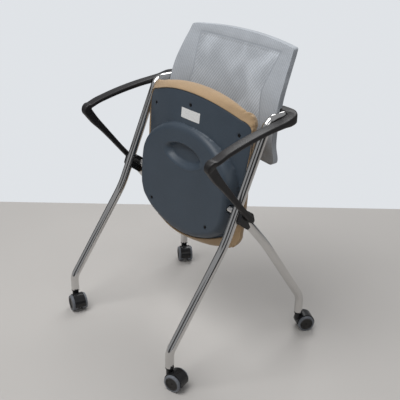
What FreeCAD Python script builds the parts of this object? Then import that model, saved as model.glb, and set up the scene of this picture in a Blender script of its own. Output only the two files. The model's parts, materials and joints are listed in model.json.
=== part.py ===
"""Nesting chair with a flip-up seat, on four twin-wheel casters.

Two bent-tube sides carry a cross tube, on which the seat turns. Each side is a front leg that runs
up under the armrest and a rear leg that ends in the pivot housing. The armrests reach in behind
the backrest and carry it. All sizes are millimetres. While it is built, the model stands with the
front legs' feet at y = 0 and the floor at z = 0, and it faces -Y; left is the sitter's left, +X.
"""
import FreeCAD
import Part
import Sketcher
import math
import os
import re
from FreeCAD import Placement, Rotation, Vector

SIZES = (
    ("tube_outer", 25, "leg tube, outside diameter"),
    ("tube_wall", 2, "leg tube, wall"),
    ("foot_height", 61, "lower end of the leg tubes above the floor"),
    ("leg_gap", 9.5, "front foot outside the cushion's side"),
    ("front_foot_x", "=cushion_half_width + leg_gap + tube_outer / 2", "front foot from the middle"),
    ("front_inward", 3.4, "how far the front leg runs inward up to the armrest"),
    ("front_low_z", 108, "front leg, lower bend, height"),
    ("front_knee_y", 190.5, "front leg, knee, behind the front foot"),
    ("front_knee_z", 376, "front leg, knee, height"),
    ("front_top_y", 331.5, "front leg, upper bend, behind the front foot"),
    ("arm_tube_z", 700, "front leg, upper run, height"),
    ("arm_tube_y", 400, "front leg, rear end of the upper run"),
    ("knee_radius", 300, "front leg, bend radius at the knee"),
    ("bend_radius", 38, "front leg, radius of the lower and upper bends"),
    ("rear_spread", 33, "rear foot outside the front foot"),
    ("rear_foot_x", "=front_foot_x + rear_spread", "rear foot from the middle"),
    ("rear_foot_y", 473, "rear foot behind the front foot"),
    ("rear_inward", 22, "how far the rear leg runs inward up to the housing"),
    ("rear_low_z", 115, "rear leg, lower bend, height"),
    ("rear_low_radius", 60, "rear leg, radius of the lower bend"),
    ("rear_knee_y", 325, "rear leg, knee, behind the front foot"),
    ("rear_knee_z", 340, "rear leg, knee, height"),
    ("rear_knee_radius", 500, "rear leg, bend radius at the knee"),
    ("rear_tilt", 38.7, "rear leg, lean of its upper run from upright, degrees"),
    ("pivot_y", 248, "seat pivot behind the front foot"),
    ("pivot_z", 446, "seat pivot, height"),
    ("rear_end_gap", 12.2, "rear leg's upper end below the pivot axis"),
    ("housing_gap", 3.5, "pivot housing, inner face outside the cushion's side"),
    ("housing_inner_x", "=cushion_half_width + housing_gap", "pivot housing, inner face"),
    ("housing_width", 42, "pivot housing, width"),
    ("housing_rounding", 8, "pivot housing, rounding of its corners"),
    ("cross_outer", 22, "cross tube, outside diameter"),
    ("cross_wall", 2.5, "cross tube, wall"),
    ("cross_seating", 20, "cross tube, depth in each housing"),
    ("running_gap", 0.05, "radial clearance of what turns on a pin"),
    ("arm_bolt_d", 8, "arm bolt, diameter"),
    ("arm_bolt_head_d", 16, "arm bolt, head diameter"),
    ("arm_bolt_head", 4.5, "arm bolt, head thickness"),
    ("arm_bolt_grip", 13, "arm bolt, thread in the housing"),
    ("arm_bolt_sink", 6, "arm bolt, head recess in the strut"),
    ("arm_bolt_room", 0.5, "arm bolt, room round its head"),
    ("strut_depth", 28, "armrest strut, breadth seen from the side"),
    ("strut_width", 16, "armrest strut, thickness seen from the front"),
    ("strut_beyond", 19, "armrest strut, length below the pivot bolt"),
    ("pad_rounding", 7, "armrest, rounding of its long edges"),
    ("arm_end_half", 15.5, "armrest, half height behind the backrest"),
    ("arm_end_reach", 14, "armrest, inner end inside the backrest's lower corner"),
    ("arm_end_x", "=cushion_half_width - arm_end_reach", "armrest, inner end behind the backrest"),
    ("arm_rear_y", 420, "armrest, rearmost face"),
    ("arm_front_y", 384, "armrest, front face of the part behind the backrest"),
    ("back_thick", 14, "backrest, thickness with its sleeve"),
    ("sleeve_thick", 1.2, "backrest, thickness of the knitted sleeve"),
    ("back_low_z", 544, "backrest, lower edge"),
    ("back_corner_z", 864, "backrest, height of its upper corners"),
    ("back_crown", 11, "backrest, rise of the upper edge in the middle"),
    ("back_low_corner", 22, "backrest, radius of its lower corners"),
    ("back_top_corner", 9, "backrest, radius of its upper corners"),
    ("window_low_z", 575, "backrest frame, lower edge of the window"),
    ("window_top_z", 845, "backrest frame, upper edge of the window"),
    ("window_low_inset", 50, "window, its side inside the cushion's side, low"),
    ("window_mid_inset", 82, "window, its side inside the cushion's side, middle"),
    ("window_top_inset", 62, "window, its side inside the cushion's side, high"),
    ("window_waist", 0.62, "window, height of its narrowest place, as a share of its height"),
    ("window_corner", 16, "backrest frame, radius of the window's corners"),
    ("back_screw_d", 5, "backrest screws, diameter"),
    ("back_screw_head_d", 9, "backrest screws, head diameter"),
    ("back_screw_head", 3, "backrest screws, head thickness"),
    ("back_screw_sink", 1, "backrest screws, head below the armrest's rear face"),
    ("back_screw_room", 0.3, "backrest screws, room round their heads"),
    ("back_screw_edge", 8, "backrest screws outside the armrest's inner end"),
    ("back_screw_x", "=arm_end_x + back_screw_edge", "backrest screws from the middle"),
    ("back_screw_pitch", 14, "backrest screws, distance between the two"),
    ("back_screw_grip", 8, "backrest screws, thread in the frame"),
    ("seat_lean", 6, "folded seat, lean from upright, degrees"),
    ("seat_travel", 93, "turn from the folded seat to the lowered seat, degrees"),
    ("shell_wall", 3, "seat shell, wall"),
    ("shell_low", 8, "seat shell, depth of its rim plane below the pivot axis"),
    ("shell_rise", 22, "seat shell, rise of the rim plane at the side screws"),
    ("dome_depth", 21.5, "seat shell, depth of the dome below the pivot axis"),
    ("dome_inset", 23, "seat shell, side of the dome inside the cushion's side"),
    ("dome_half_width", "=cushion_half_width - dome_inset", "seat shell, half width of the dome"),
    ("dome_half_length", 134, "seat shell, half length of the dome"),
    ("dome_middle", 49, "seat shell, middle of the dome before the pivot"),
    ("dome_flare_side", 4, "seat shell, how far the dome widens to its foot, sideways"),
    ("dome_flare_end", 16, "seat shell, how far the dome widens to its foot, lengthwise"),
    ("dome_rounding", 10, "seat shell, rounding of the dome's edge"),
    ("grip_half_width", 87.5, "finger recess, half width"),
    ("grip_half_height", 35, "finger recess, half height"),
    ("grip_middle", 95, "finger recess, middle before the pivot"),
    ("grip_depth", 15, "finger recess, depth"),
    ("board_low", 21, "seat board, underside above the pivot axis"),
    ("board_thick", 11, "seat board, thickness"),
    ("board_inset", 28, "seat board, side inside the cushion's side"),
    ("board_half_width", "=cushion_half_width - board_inset", "seat board, half width"),
    ("board_front", 256, "seat board, front edge before the pivot"),
    ("board_rear", 125, "seat board, rear edge behind the pivot"),
    ("board_corner", 40, "seat board, corner radius"),
    ("cushion_half_width", 228, "cushion, half width"),
    ("cushion_front", 301, "cushion, front edge before the pivot"),
    ("cushion_rear", 165, "cushion, rear edge behind the pivot"),
    ("cushion_top", 64, "cushion, crown above the pivot axis"),
    ("cushion_side", 50, "cushion, height of its side above the pivot axis"),
    ("soft_gap", 0.3, "clearance of the cushion from the shell"),
    ("label_low", 200, "blank label, lower edge before the pivot"),
    ("label_height", 29, "blank label, height"),
    ("label_width", 81, "blank label, width"),
    ("label_offset", 3.5, "blank label, middle beside the chair's middle"),
    ("label_thick", 0.4, "blank label, thickness"),
    ("shell_screw_d", 4, "shell screws, diameter"),
    ("shell_screw_head_d", 9, "shell screws, head diameter"),
    ("shell_screw_head", 2.2, "shell screws, head thickness"),
    ("shell_screw_grip", 9, "shell screws, thread in the board"),
    ("shell_screw_room", 0.25, "shell screws, room round their heads"),
    ("rim_screw_inset", 15, "shell screws at the sides, inside the board's side"),
    ("rim_screw_x", "=board_half_width - rim_screw_inset", "shell screws at the sides, from the middle"),
    ("rear_screw_inset", 71.5, "shell screws at the rear, inside the board's side"),
    ("rear_screw_x", "=board_half_width - rear_screw_inset", "shell screws at the rear, from the middle"),
    ("rim_screw_front", 204, "shell screws at the sides, before the pivot"),
    ("lip_screw_front", 243, "shell screw at the front, before the pivot"),
    ("rear_screw_back", 80, "shell screws at the rear, behind the pivot"),
    ("boss_d", 13, "shell bosses round the screws, diameter"),
    ("screw_sink", 1.2, "shell screws, seat of the head below the rim plane"),
    ("pocket_depth", 8, "shell screws, depth of the pocket past the head"),
    ("bracket_inset", 20, "seat bracket, outer end of its plate inside the board's side"),
    ("bracket_outer_x", "=board_half_width - bracket_inset", "seat bracket, outer end of its plate"),
    ("bracket_width", 40, "seat bracket, width of its plate across the seat"),
    ("bracket_inner_x", "=bracket_outer_x - bracket_width", "seat bracket, inner end of its plate"),
    ("bracket_half_length", 60, "seat bracket, half length of its plate"),
    ("bracket_plate", 4, "seat bracket, plate thickness"),
    ("ear_inset", 14, "seat bracket, inner face of its ear inside the plate's outer end"),
    ("ear_x", "=bracket_outer_x - ear_inset", "seat bracket, inner face of its ear"),
    ("ear_thick", 6, "seat bracket, ear thickness"),
    ("ear_radius", 17.5, "seat bracket, radius of the ear round the pivot"),
    ("bush_outer", 28, "pivot bush, outside diameter"),
    ("bush_width", 12, "pivot bush, width"),
    ("bracket_bolt_d", 6, "bracket bolts, diameter"),
    ("bracket_bolt_head_d", 10, "bracket bolts, head diameter"),
    ("bracket_bolt_head", 2.5, "bracket bolts, head thickness"),
    ("bracket_bolt_edge", 12, "bracket bolts from the plate's ends"),
    ("bracket_bolt_grip", 9, "bracket bolts, thread in the board"),
    ("stop_inset", 16, "stop collar, inner face inside the ear's inner face"),
    ("stop_x", "=ear_x - stop_inset", "stop collar, inner face"),
    ("stop_width", 10, "stop collar, width"),
    ("stop_collar_d", 27, "stop collar, diameter"),
    ("stop_lug", 6, "stop collar, thickness of its two lugs"),
    ("stop_angle", 45, "stop collar, lug beside the bracket's normal, degrees"),
    ("stop_gap", 0.3, "stop lug from the bracket at the end of the travel"),
    ("wheel_d", 50, "caster wheel, diameter"),
    ("wheel_width", 17, "caster wheel, width"),
    ("wheel_pitch", 31.6, "caster wheels, distance between their middles"),
    ("tread_thick", 5.5, "caster tread, thickness"),
    ("tread_bevel", 1.6, "caster tread, bevel of its edges"),
    ("hub_dish_d", 30, "caster hub, diameter of its dished face"),
    ("hub_dish", 2.5, "caster hub, depth of its dished face"),
    ("caster_trail", 22, "caster axle behind the swivel axis"),
    ("axle_d", 6, "caster axle, diameter"),
    ("axle_edge", 3, "caster axle, end inside the hub's outer face"),
    ("hood_web", 12.6, "caster hood, thickness between the wheels"),
    ("hood_gap", 0.8, "caster hood, gap over the tread"),
    ("hood_thick", 2.2, "caster hood, thickness over the tread"),
    ("hood_sweep", 195, "caster hood, angle that it covers, degrees"),
    ("hood_start", -12, "caster hood, angle of its trailing edge, degrees"),
    ("hood_side", 7, "caster hood, edge inside the wheels' outer faces"),
    ("axle_boss_d", 26, "caster hood, diameter of the web round the axle"),
    ("stem_boss_d", 20, "caster hood, diameter of the boss round the stem"),
    ("stem_boss_low", 34, "caster hood, lower end of the stem's boss"),
    ("stem_d", 10, "caster stem, diameter"),
    ("stem_low", 40, "caster stem, lower end above the floor"),
    ("socket_collar", 3.5, "caster socket, thickness of the collar under the tube"),
    ("socket_length", 34, "caster socket, depth in the tube"),
    ("socket_cap", 3, "caster socket, thickness of its closed end"),
    ("stem_play", 2, "caster stem, end below the socket's blind end"),
    ("swivel_gap", 3, "caster hood below the socket's collar"),
    ("front_left_turn", 18, "direction from +X in which the front left caster trails, degrees"),
    ("rear_left_turn", 62, "direction from +X in which the rear left caster trails, degrees"),
    ("front_right_turn", -12, "direction from +X in which the front right caster trails, degrees"),
    ("rear_right_turn", -30, "direction from +X in which the rear right caster trails, degrees"),
)

SIDES = (("left", 1), ("right", -1))

CASTERS = (
    ("front_left", 1, "front"),
    ("front_right", -1, "front"),
    ("rear_left", 1, "rear"),
    ("rear_right", -1, "rear"),
)

# Side view of the pivot housing round the pivot: (y, z).
HOUSING_OUTLINE = ((-32, -10), (-20, 22), (-2, 22), (18, 8), (25, -16), (1, -37))

# The strut's centre line meets the arm's front corner here; heights count from the leg's upper run.
ARM_CORNER_Y = 104.4
ARM_CORNER_Z = -84.7

# Each station up the strut: its distance from the lower end, and its share of the full depth.
STRUT_END = ((0, 0.45), (4, 0.8), (11, 1))

# Each station round the front corner: inner end (y, z), outer end (y, z), then the middle's distance
# outside the front foot, and the half width.
ARM_FRONT = (
    ((111.6, -70.6), (76.5, -72.0), 34, 9.5),
    ((112.6, -69.6), (80.0, -54.5), 38, 12),
    ((116.5, -68.6), (99.0, -49.6), 41, 14.5),
    ((130.0, -65.6), (130.0, -41.5), 40.5, 17.5),
)

# Each station along the pad: y, underside z, top z, then how far the inner and the outer side
# lie outside the front foot.
ARM_PAD = (
    (150, -62.0, -36.0, 20, 59),
    (200, -53.0, -24.0, 18, 62),
    (250, -47.0, -14.0, 16, 60),
    (300, -37.0, -6.5, 14, 56),
    (350, -25.0, -1.5, 11, 50),
    (376, -22.5, 0.5, 9, 45),
)

# The turn behind the pad: inner end (outside the front foot, behind the front face), outer end
# (outside the front foot, before the rear face), and how much lower the turn lies.
ARM_TURN_INNER = (7, 1)
ARM_TURN_OUTER = (37, 13)
ARM_TURN_DROP = 5
ARM_TURN_TAPER = 2

# The straight part behind the backrest: middles outside the front foot.
ARM_BEHIND = (4, -14)

# Side view of the backrest's front face at its edges: height, y, and how far the middle lies behind.
BACK_PROFILE = (
    (525, 374, 20),
    (600, 365, 26),
    (640, 361.5, 27),
    (690, 367, 26),
    (740, 380, 24),
    (800, 407, 21),
    (850, 435, 18),
    (895, 464, 16),
)

# Front view of the backrest's edge: height, and distance outside the cushion's side.
BACK_EDGE = (
    (600, -1),
    (690, 4.5),
    (770, -1),
)
BACK_TOP_INSET = 16
BACK_LOW_INSET = 4

# The backrest's bent slab is built this much wider than its front outline.
BACK_SPARE = 25

# The prisms that trim the backrest run from here, this far to the rear.
BACK_START = 320
BACK_REACH = 240

# The right half of the shell's rim, square to the seat: distance inside the cushion's side, and
# distance before the pivot. Ends and middles of arcs alternate; the first and last lie in the middle.
SHELL_REAR = -146
SHELL_FRONT = 278
SHELL_SIDE = (
    (68, -106),
    (38, -84),
    (23, -50),
    (14, 60),
    (-1, 198),
    (7, 229),
    (40, 246),
)

# The right half of the cushion's outline: distance inside its side, then before its rear or behind
# its front. Ends and middles of arcs alternate.
CUSHION_REAR = ((48, 30), (15, 48), (2, 84))
CUSHION_FRONT = ((1, 66), (8, 40), (38, 28))

# The cushion's levels: share of its outline, height as shares of its side and of its crown.
CUSHION_LEVELS = (
    (0.955, -0.28, 0),
    (0.985, 0.08, 0),
    (1.0, 0.48, 0),
    (0.99, 0.82, 0),
    (0.955, 1, 0.25),
    (0.86, 1, 0.62),
    (0.60, 1, 0.9),
    (0.25, 1, 1),
)
X_AXIS = Vector(1, 0, 0)
Y_AXIS = Vector(0, 1, 0)
Z_AXIS = Vector(0, 0, 1)

doc = FreeCAD.newDocument("NestingChair")
nodes = []


def make_sheet():
    """One row for each dimension: what it is, then its value or its formula under an alias."""
    made = doc.addObject("Spreadsheet::Sheet", "Sizes")
    for row, (alias, _, _) in enumerate(SIZES, start=1):
        made.setAlias(f"B{row}", alias)
    for row, (_, amount, note) in enumerate(SIZES, start=1):
        made.set(f"A{row}", note)
        made.set(f"B{row}", str(amount))
    doc.recompute()
    return made


sheet = make_sheet()


def size(alias):
    """A driving dimension as a number."""
    return float(sheet.get(alias))


def in_sheet(text):
    """An expression with each size name pointed at the sheet."""
    aliases = {alias for alias, _, _ in SIZES}

    def point(match):
        return f"Sizes.{match.group()}" if match.group() in aliases else match.group()

    return re.sub(r"[a-z_]+", point, text)


def number(text):
    """The value of an expression in which size names stand alone."""
    return float(sheet.evalExpression(text))


def bind(thing, **expressions):
    """Binds properties of an object to expressions in which size names stand alone."""
    for prop, text in expressions.items():
        thing.setExpression(prop, in_sheet(text))
    return thing


def node(thing, label):
    """Keeps an object as a sub-part under the name of its file."""
    thing.Label = label
    nodes.append(thing)
    return thing


def feature(label, shape):
    """An object that holds a shape made by Part's own functions."""
    made = doc.addObject("Part::Feature", label)
    made.Shape = shape
    return made


def cylinder(name, radius, height, place, **more):
    """A cylinder along its placement's Z axis; radius and height are expressions."""
    made = bind(doc.addObject("Part::Cylinder", name), Radius=radius, Height=height, **more)
    made.Placement = place
    return made


def box(name, length, width, height, place):
    """A box from its placement's corner; the three sizes are expressions."""
    made = bind(doc.addObject("Part::Box", name), Length=length, Width=width, Height=height)
    made.Placement = place
    return made


def fuse(name, parts):
    """One object out of several that meet."""
    made = doc.addObject("Part::MultiFuse", name)
    made.Shapes = parts
    return made


def cut(name, base, tools):
    """The base without the tools."""
    made = doc.addObject("Part::Cut", name)
    made.Base = base
    made.Tool = tools[0] if len(tools) == 1 else fuse(name + "_tools", tools)
    return made


def common(name, first, second):
    """What two objects share."""
    made = doc.addObject("Part::Common", name)
    made.Base = first
    made.Tool = second
    return made


def together(name, parts):
    """Like fasteners as one group of separate solids."""
    made = doc.addObject("Part::Compound", name)
    made.Links = parts
    return made


def along(direction, base):
    """A placement whose Z axis points in a direction."""
    return Placement(base, Rotation(Z_AXIS, direction))


def plane_of(body, role):
    """One of a body's own origin planes."""
    return next(plane for plane in body.Origin.OriginFeatures if plane.Role == role)


def closed_sketch(body, role, corners):
    """A closed outline of straight lines; each corner is a pair of expressions."""
    sketch = body.newObject("Sketcher::SketchObject", body.Name + "_outline")
    sketch.AttachmentSupport = (plane_of(body, role), [""])
    sketch.MapMode = "FlatFace"
    places = [Vector(number(across), number(up), 0) for across, up in corners]
    following = places[1:] + places[:1]
    for start, end in zip(places, following):
        sketch.addGeometry(Part.LineSegment(start, end), False)
    for index in range(len(corners)):
        sketch.addConstraint(Sketcher.Constraint("Coincident", index, 2, (index + 1) % len(corners), 1))
    for index, (corner, place) in enumerate(zip(corners, places)):
        for kind, axis, text, value in zip(("DistanceX", "DistanceY"), (-2, -1), corner, place):
            if text == "0":
                sketch.addConstraint(Sketcher.Constraint("PointOnObject", index, 1, axis))
                continue
            made = sketch.addConstraint(Sketcher.Constraint(kind, -1, 1, index, 1, value))
            sketch.setExpression(f"Constraints[{made}]", in_sheet(text))
    return sketch


def turned(name, profile, place):
    """A body of revolution about its placement's Z axis; the profile gives (radius, height) pairs."""
    body = doc.addObject("PartDesign::Body", name)
    sketch = closed_sketch(body, "XZ_Plane", profile)
    turn = body.newObject("PartDesign::Revolution", name + "_turn")
    turn.Profile = sketch
    turn.ReferenceAxis = (sketch, ["V_Axis"])
    turn.Angle = 360
    body.Placement = place
    return body


def padded(name, role, corners, length, place, rounding=None):
    """A straight-sided body: an outline padded to a length, its long edges rounded if asked."""
    body = doc.addObject("PartDesign::Body", name)
    pad = body.newObject("PartDesign::Pad", name + "_pad")
    pad.Profile = closed_sketch(body, role, corners)
    bind(pad, Length=length)
    doc.recompute()
    if rounding:
        fillet = body.newObject("PartDesign::Fillet", name + "_rounding")
        normal = pad.Profile[0].Placement.Rotation.multVec(Z_AXIS)
        fillet.Base = (pad, edges_along(pad.Shape, normal))
        bind(fillet, Radius=rounding)
    body.Placement = place
    return body


def edges_along(shape, direction):
    """The names of the straight edges that run in a direction."""
    names = []
    for index, edge in enumerate(shape.Edges, start=1):
        way = edge.valueAt(edge.LastParameter) - edge.valueAt(edge.FirstParameter)
        if way.cross(direction).Length < way.Length / 1000:
            names.append(f"Edge{index}")
    return names


def bent_path(points, radii):
    """A wire of straight runs through the points, joined by tangent arcs."""
    edges = []
    start = points[0]
    for before, corner, after, radius in zip(points, points[1:], points[2:], radii):
        way_in = (corner - before).normalize()
        way_out = (after - corner).normalize()
        turn = way_in.getAngle(way_out)
        reach = radius * math.tan(turn / 2)
        deep = radius / math.cos(turn / 2) - radius
        arc_start = corner - way_in * reach
        arc_end = corner + way_out * reach
        arc_middle = corner + (way_out - way_in).normalize() * deep
        edges.append(Part.LineSegment(start, arc_start).toShape())
        edges.append(Part.Arc(arc_start, arc_middle, arc_end).toShape())
        start = arc_end
    edges.append(Part.LineSegment(start, points[-1]).toShape())
    return Part.Wire(edges)


def tube_skin(name, path, radius):
    """A round solid swept along a path that starts upward."""
    ring = bind(doc.addObject("Part::Circle", name + "_ring"), Radius=radius)
    ring.Placement = Placement(path.Shape.Edges[0].valueAt(0), Rotation())
    sweep = doc.addObject("Part::Sweep", name)
    sweep.Sections = [ring]
    sweep.Spine = (path, [f"Edge{index}" for index in range(1, len(path.Shape.Edges) + 1)])
    sweep.Solid = True
    return sweep


def leg(label, points, radii):
    """A bent hollow tube from the foot up; returns its full round solid for the pieces it fits."""
    path = feature(label + "_path", bent_path(points, radii))
    full = tube_skin(label + "_skin", path, "tube_outer / 2")
    bore = tube_skin(label + "_bore", path, "tube_outer / 2 - tube_wall")
    node(cut(label, full, [bore]), label)
    return full


def front_leg(name, side):
    """Up from the foot, forward of the housing, then back under the arm's rear end."""
    inward = size("front_inward") / size("arm_tube_y")

    def point(y, z):
        return Vector(side * (size("front_foot_x") - inward * y), y, z)

    points = [
        point(0, size("foot_height")),
        point(0, size("front_low_z")),
        point(size("front_knee_y"), size("front_knee_z")),
        point(size("front_top_y"), size("arm_tube_z")),
        point(size("arm_tube_y"), size("arm_tube_z")),
    ]
    return leg(f"front_leg_{name}", points, [size("bend_radius"), size("knee_radius"), size("bend_radius")])


def rear_end():
    """Side view (y, z) of the rear leg's upper end, square to its run and just under the pivot."""
    lean = math.radians(size("rear_tilt"))
    forward = Vector(0, -math.sin(lean), math.cos(lean))
    knee = Vector(0, size("rear_knee_y"), size("rear_knee_z"))
    pivot = Vector(0, size("pivot_y"), size("pivot_z"))
    length = (pivot - knee).dot(forward) - size("rear_end_gap")
    return knee + forward * length


def rear_leg(name, side):
    """Up from the rear foot, then forward into the housing."""
    end = rear_end()
    inward = size("rear_inward") / (size("rear_foot_y") - end.y)

    def point(y, z):
        return Vector(side * (size("rear_foot_x") - inward * (size("rear_foot_y") - y)), y, z)

    points = [
        point(size("rear_foot_y"), size("foot_height")),
        point(size("rear_foot_y"), size("rear_low_z")),
        point(size("rear_knee_y"), size("rear_knee_z")),
        point(end.y, end.z),
    ]
    return leg(f"rear_leg_{name}", points, [size("rear_low_radius"), size("rear_knee_radius")])


def pivot_place(x=0):
    """A point on the pivot axis, with Z pointing to the sitter's left."""
    return along(X_AXIS, Vector(x, size("pivot_y"), size("pivot_z")))


def cross_tube():
    """The tube across the chair, seated in both housings; the seat turns on it."""
    half = "housing_inner_x + cross_seating"
    place = pivot_place(-number(half))
    full = cylinder("cross_full", "cross_outer / 2", f"2 * ({half})", place)
    bore = cylinder("cross_bore", "cross_outer / 2 - cross_wall", f"2 * ({half})", place)
    node(cut("cross_tube", full, [bore]), "cross_tube")
    return full


def pivot_housing(name, side, front, rear, cross, bolt):
    """A moulded block behind the front leg: it takes the rear leg, the cross tube and the bolt."""
    corners = [(f"pivot_y + {back}", f"pivot_z + {up}") for back, up in HOUSING_OUTLINE]
    inner = size("housing_inner_x")
    start = inner if side > 0 else -inner - size("housing_width")
    place = Placement(Vector(start, 0, 0), Rotation())
    block = padded(f"housing_{name}", "YZ_Plane", corners, "housing_width", place, "housing_rounding")
    label = f"pivot_housing_{name}"
    return node(cut(label, block, [front, rear, cross, bolt]), label)


def bolt_seat(side):
    """Where the arm bolt's head sits in the strut."""
    seat_x = number("housing_inner_x + housing_width + strut_width - arm_bolt_sink")
    return Vector(side * seat_x, size("pivot_y"), size("pivot_z"))


def arm_bolt(name, side):
    """A pan-headed bolt through the strut into the housing, on the pivot axis."""
    inward = Vector(-side, 0, 0)
    face = bolt_seat(side)
    shank_length = "strut_width - arm_bolt_sink + arm_bolt_grip"
    shank = cylinder(f"arm_bolt_shank_{name}", "arm_bolt_d / 2", shank_length, along(inward, face))
    head = cylinder(f"arm_bolt_head_{name}", "arm_bolt_head_d / 2", "arm_bolt_head", along(-inward, face))
    return fuse(f"arm_bolt_{name}", [shank, head])


def rounded_section(centre, half_across, half_up, radius):
    """A rounded rectangle as a closed wire: two half-size vectors give its plane and its turn."""
    across = Vector(half_across).normalize()
    up = Vector(half_up).normalize()
    radius = min(radius, 0.95 * half_across.Length, 0.95 * half_up.Length)
    slack = radius * (1 - math.sqrt(0.5))
    quarters = ((1, 1), (-1, 1), (-1, -1), (1, -1))
    ends = []
    for index, (a, b) in enumerate(quarters):
        corner = centre + half_across * a + half_up * b
        beside = corner - across * (a * radius)
        below = corner - up * (b * radius)
        middle = corner - across * (a * slack) - up * (b * slack)
        first, last = (below, beside) if index % 2 == 0 else (beside, below)
        ends.append((first, middle, last))
    edges = []
    for (first, middle, last), (following, _, _) in zip(ends, ends[1:] + ends[:1]):
        edges.append(Part.Arc(first, middle, last).toShape())
        edges.append(Part.LineSegment(last, following).toShape())
    return Part.Wire(edges)


def strut_axis():
    """Side view: the unit vector down the strut and the unit vector square to it, to the rear."""
    corner = Vector(0, ARM_CORNER_Y, ARM_CORNER_Z + size("arm_tube_z"))
    pivot = Vector(0, size("pivot_y"), size("pivot_z"))
    down = (pivot - corner).normalize()
    return down, Vector(0, -down.z, down.y)


def arm_sections(side):
    """The arm's cross sections from the strut's lower end round to the end behind the backrest."""
    down, rear = strut_axis()
    half_depth = rear * (-size("strut_depth") / 2)
    half_width = Vector(side * size("strut_width") / 2, 0, 0)
    level = size("arm_tube_z")
    foot_x = size("front_foot_x")
    rounding = size("pad_rounding")
    strut_x = number("housing_inner_x + housing_width + strut_width / 2")
    low_end = Vector(side * strut_x, size("pivot_y"), size("pivot_z")) + down * size("strut_beyond")
    run = (Vector(0, ARM_CORNER_Y, ARM_CORNER_Z + level) - Vector(0, low_end.y, low_end.z)).Length
    sections = []
    for distance, share in STRUT_END + ((run / 3, 1), (run * 2 / 3, 1), (run, 1)):
        centre = low_end - down * distance
        sections.append(rounded_section(centre, half_width, half_depth * share, rounding / 2))
    for (inner_y, inner_z), (outer_y, outer_z), outside, half in ARM_FRONT:
        inner = Vector(side * (foot_x + outside), inner_y, inner_z + level)
        outer = Vector(side * (foot_x + outside), outer_y, outer_z + level)
        across = Vector(side * half, 0, 0)
        sections.append(rounded_section((inner + outer) / 2, across, (outer - inner) / 2, rounding))
    for y, low, top, inside, outside in ARM_PAD:
        centre = Vector(side * (foot_x + (inside + outside) / 2), y, (low + top) / 2 + level)
        across = Vector(side * (outside - inside) / 2, 0, 0)
        sections.append(rounded_section(centre, across, Vector(0, 0, (top - low) / 2), rounding))
    front = size("arm_front_y")
    back = size("arm_rear_y")
    turn_level = level - ARM_TURN_DROP
    turn_inner = Vector(side * (foot_x + ARM_TURN_INNER[0]), front + ARM_TURN_INNER[1], turn_level)
    turn_outer = Vector(side * (foot_x + ARM_TURN_OUTER[0]), back - ARM_TURN_OUTER[1], turn_level)
    half_turn = Vector(0, 0, size("arm_end_half") - ARM_TURN_TAPER)
    centre = (turn_inner + turn_outer) / 2
    sections.append(rounded_section(centre, (turn_outer - turn_inner) / 2, half_turn, rounding))
    half_end = Vector(0, (back - front) / 2, 0)
    for x in [foot_x + outside for outside in ARM_BEHIND] + [size("arm_end_x")]:
        centre = Vector(side * x, (front + back) / 2, level)
        sections.append(rounded_section(centre, half_end, Vector(0, 0, size("arm_end_half")), rounding))
    return sections


def armrest(name, side, tools):
    """Strut, front corner, pad and the inward end as one moulding, cut for what it holds."""
    label = f"armrest_{name}"
    form = feature(f"{label}_form", Part.makeLoft(arm_sections(side), True, True))
    return node(cut(label, form, tools), label)


def back_slab(name, front_skin, rear_skin):
    """A slab that follows the backrest's bend, between two depths behind its front face."""
    half = size("cushion_half_width") + BACK_SPARE
    wires = []
    for z, y, hollow in BACK_PROFILE:
        front = [Vector(-half, y + front_skin, z), Vector(0, y + hollow + front_skin, z),
                 Vector(half, y + front_skin, z)]
        rear = [point + Vector(0, rear_skin - front_skin, 0) for point in front]
        edges = [
            Part.Arc(*front).toShape(),
            Part.LineSegment(front[2], rear[2]).toShape(),
            Part.Arc(rear[2], rear[1], rear[0]).toShape(),
            Part.LineSegment(rear[0], front[0]).toShape(),
        ]
        wires.append(Part.Wire(edges))
    return feature(name, Part.makeLoft(wires, True, False))


def back_outline(name, inset):
    """A prism along Y with the backrest's front outline, drawn in all round."""
    low = size("back_low_z") + inset
    top = size("back_corner_z") - inset
    low_radius = size("back_low_corner")
    top_radius = size("back_top_corner")
    wide = size("cushion_half_width") - inset
    low_half = wide - BACK_LOW_INSET
    top_half = wide - BACK_TOP_INSET
    slack = 1 - math.sqrt(0.5)
    side_points = [Vector(wide + outside, 0, z) for z, outside in BACK_EDGE]
    low_end = Vector(low_half, 0, low + low_radius)
    top_end = Vector(top_half, 0, top - top_radius)
    crown = Vector(0, 0, top + size("back_crown"))
    upper = Vector(top_half - top_radius, 0, top)
    lower = Vector(low_half - low_radius, 0, low)
    low_mid = Vector(low_half - low_radius * slack, 0, low + low_radius * slack)
    top_mid = Vector(top_half - top_radius * slack, 0, top - top_radius * slack)

    def mirrored(point):
        return Vector(-point.x, point.y, point.z)

    right_side = Part.BSplineCurve()
    right_side.interpolate([low_end] + side_points + [top_end])
    left_side = Part.BSplineCurve()
    left_side.interpolate([mirrored(point) for point in [top_end] + side_points[::-1] + [low_end]])
    edges = [
        Part.LineSegment(mirrored(lower), lower).toShape(),
        Part.Arc(lower, low_mid, low_end).toShape(),
        right_side.toShape(),
        Part.Arc(top_end, top_mid, upper).toShape(),
        Part.Arc(upper, crown, mirrored(upper)).toShape(),
        Part.Arc(mirrored(upper), mirrored(top_mid), mirrored(top_end)).toShape(),
        left_side.toShape(),
        Part.Arc(mirrored(low_end), mirrored(low_mid), mirrored(lower)).toShape(),
    ]
    prism = Part.Face(Part.Wire(edges)).extrude(Vector(0, BACK_REACH, 0))
    prism.translate(Vector(0, BACK_START, 0))
    return feature(name, prism)


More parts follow.
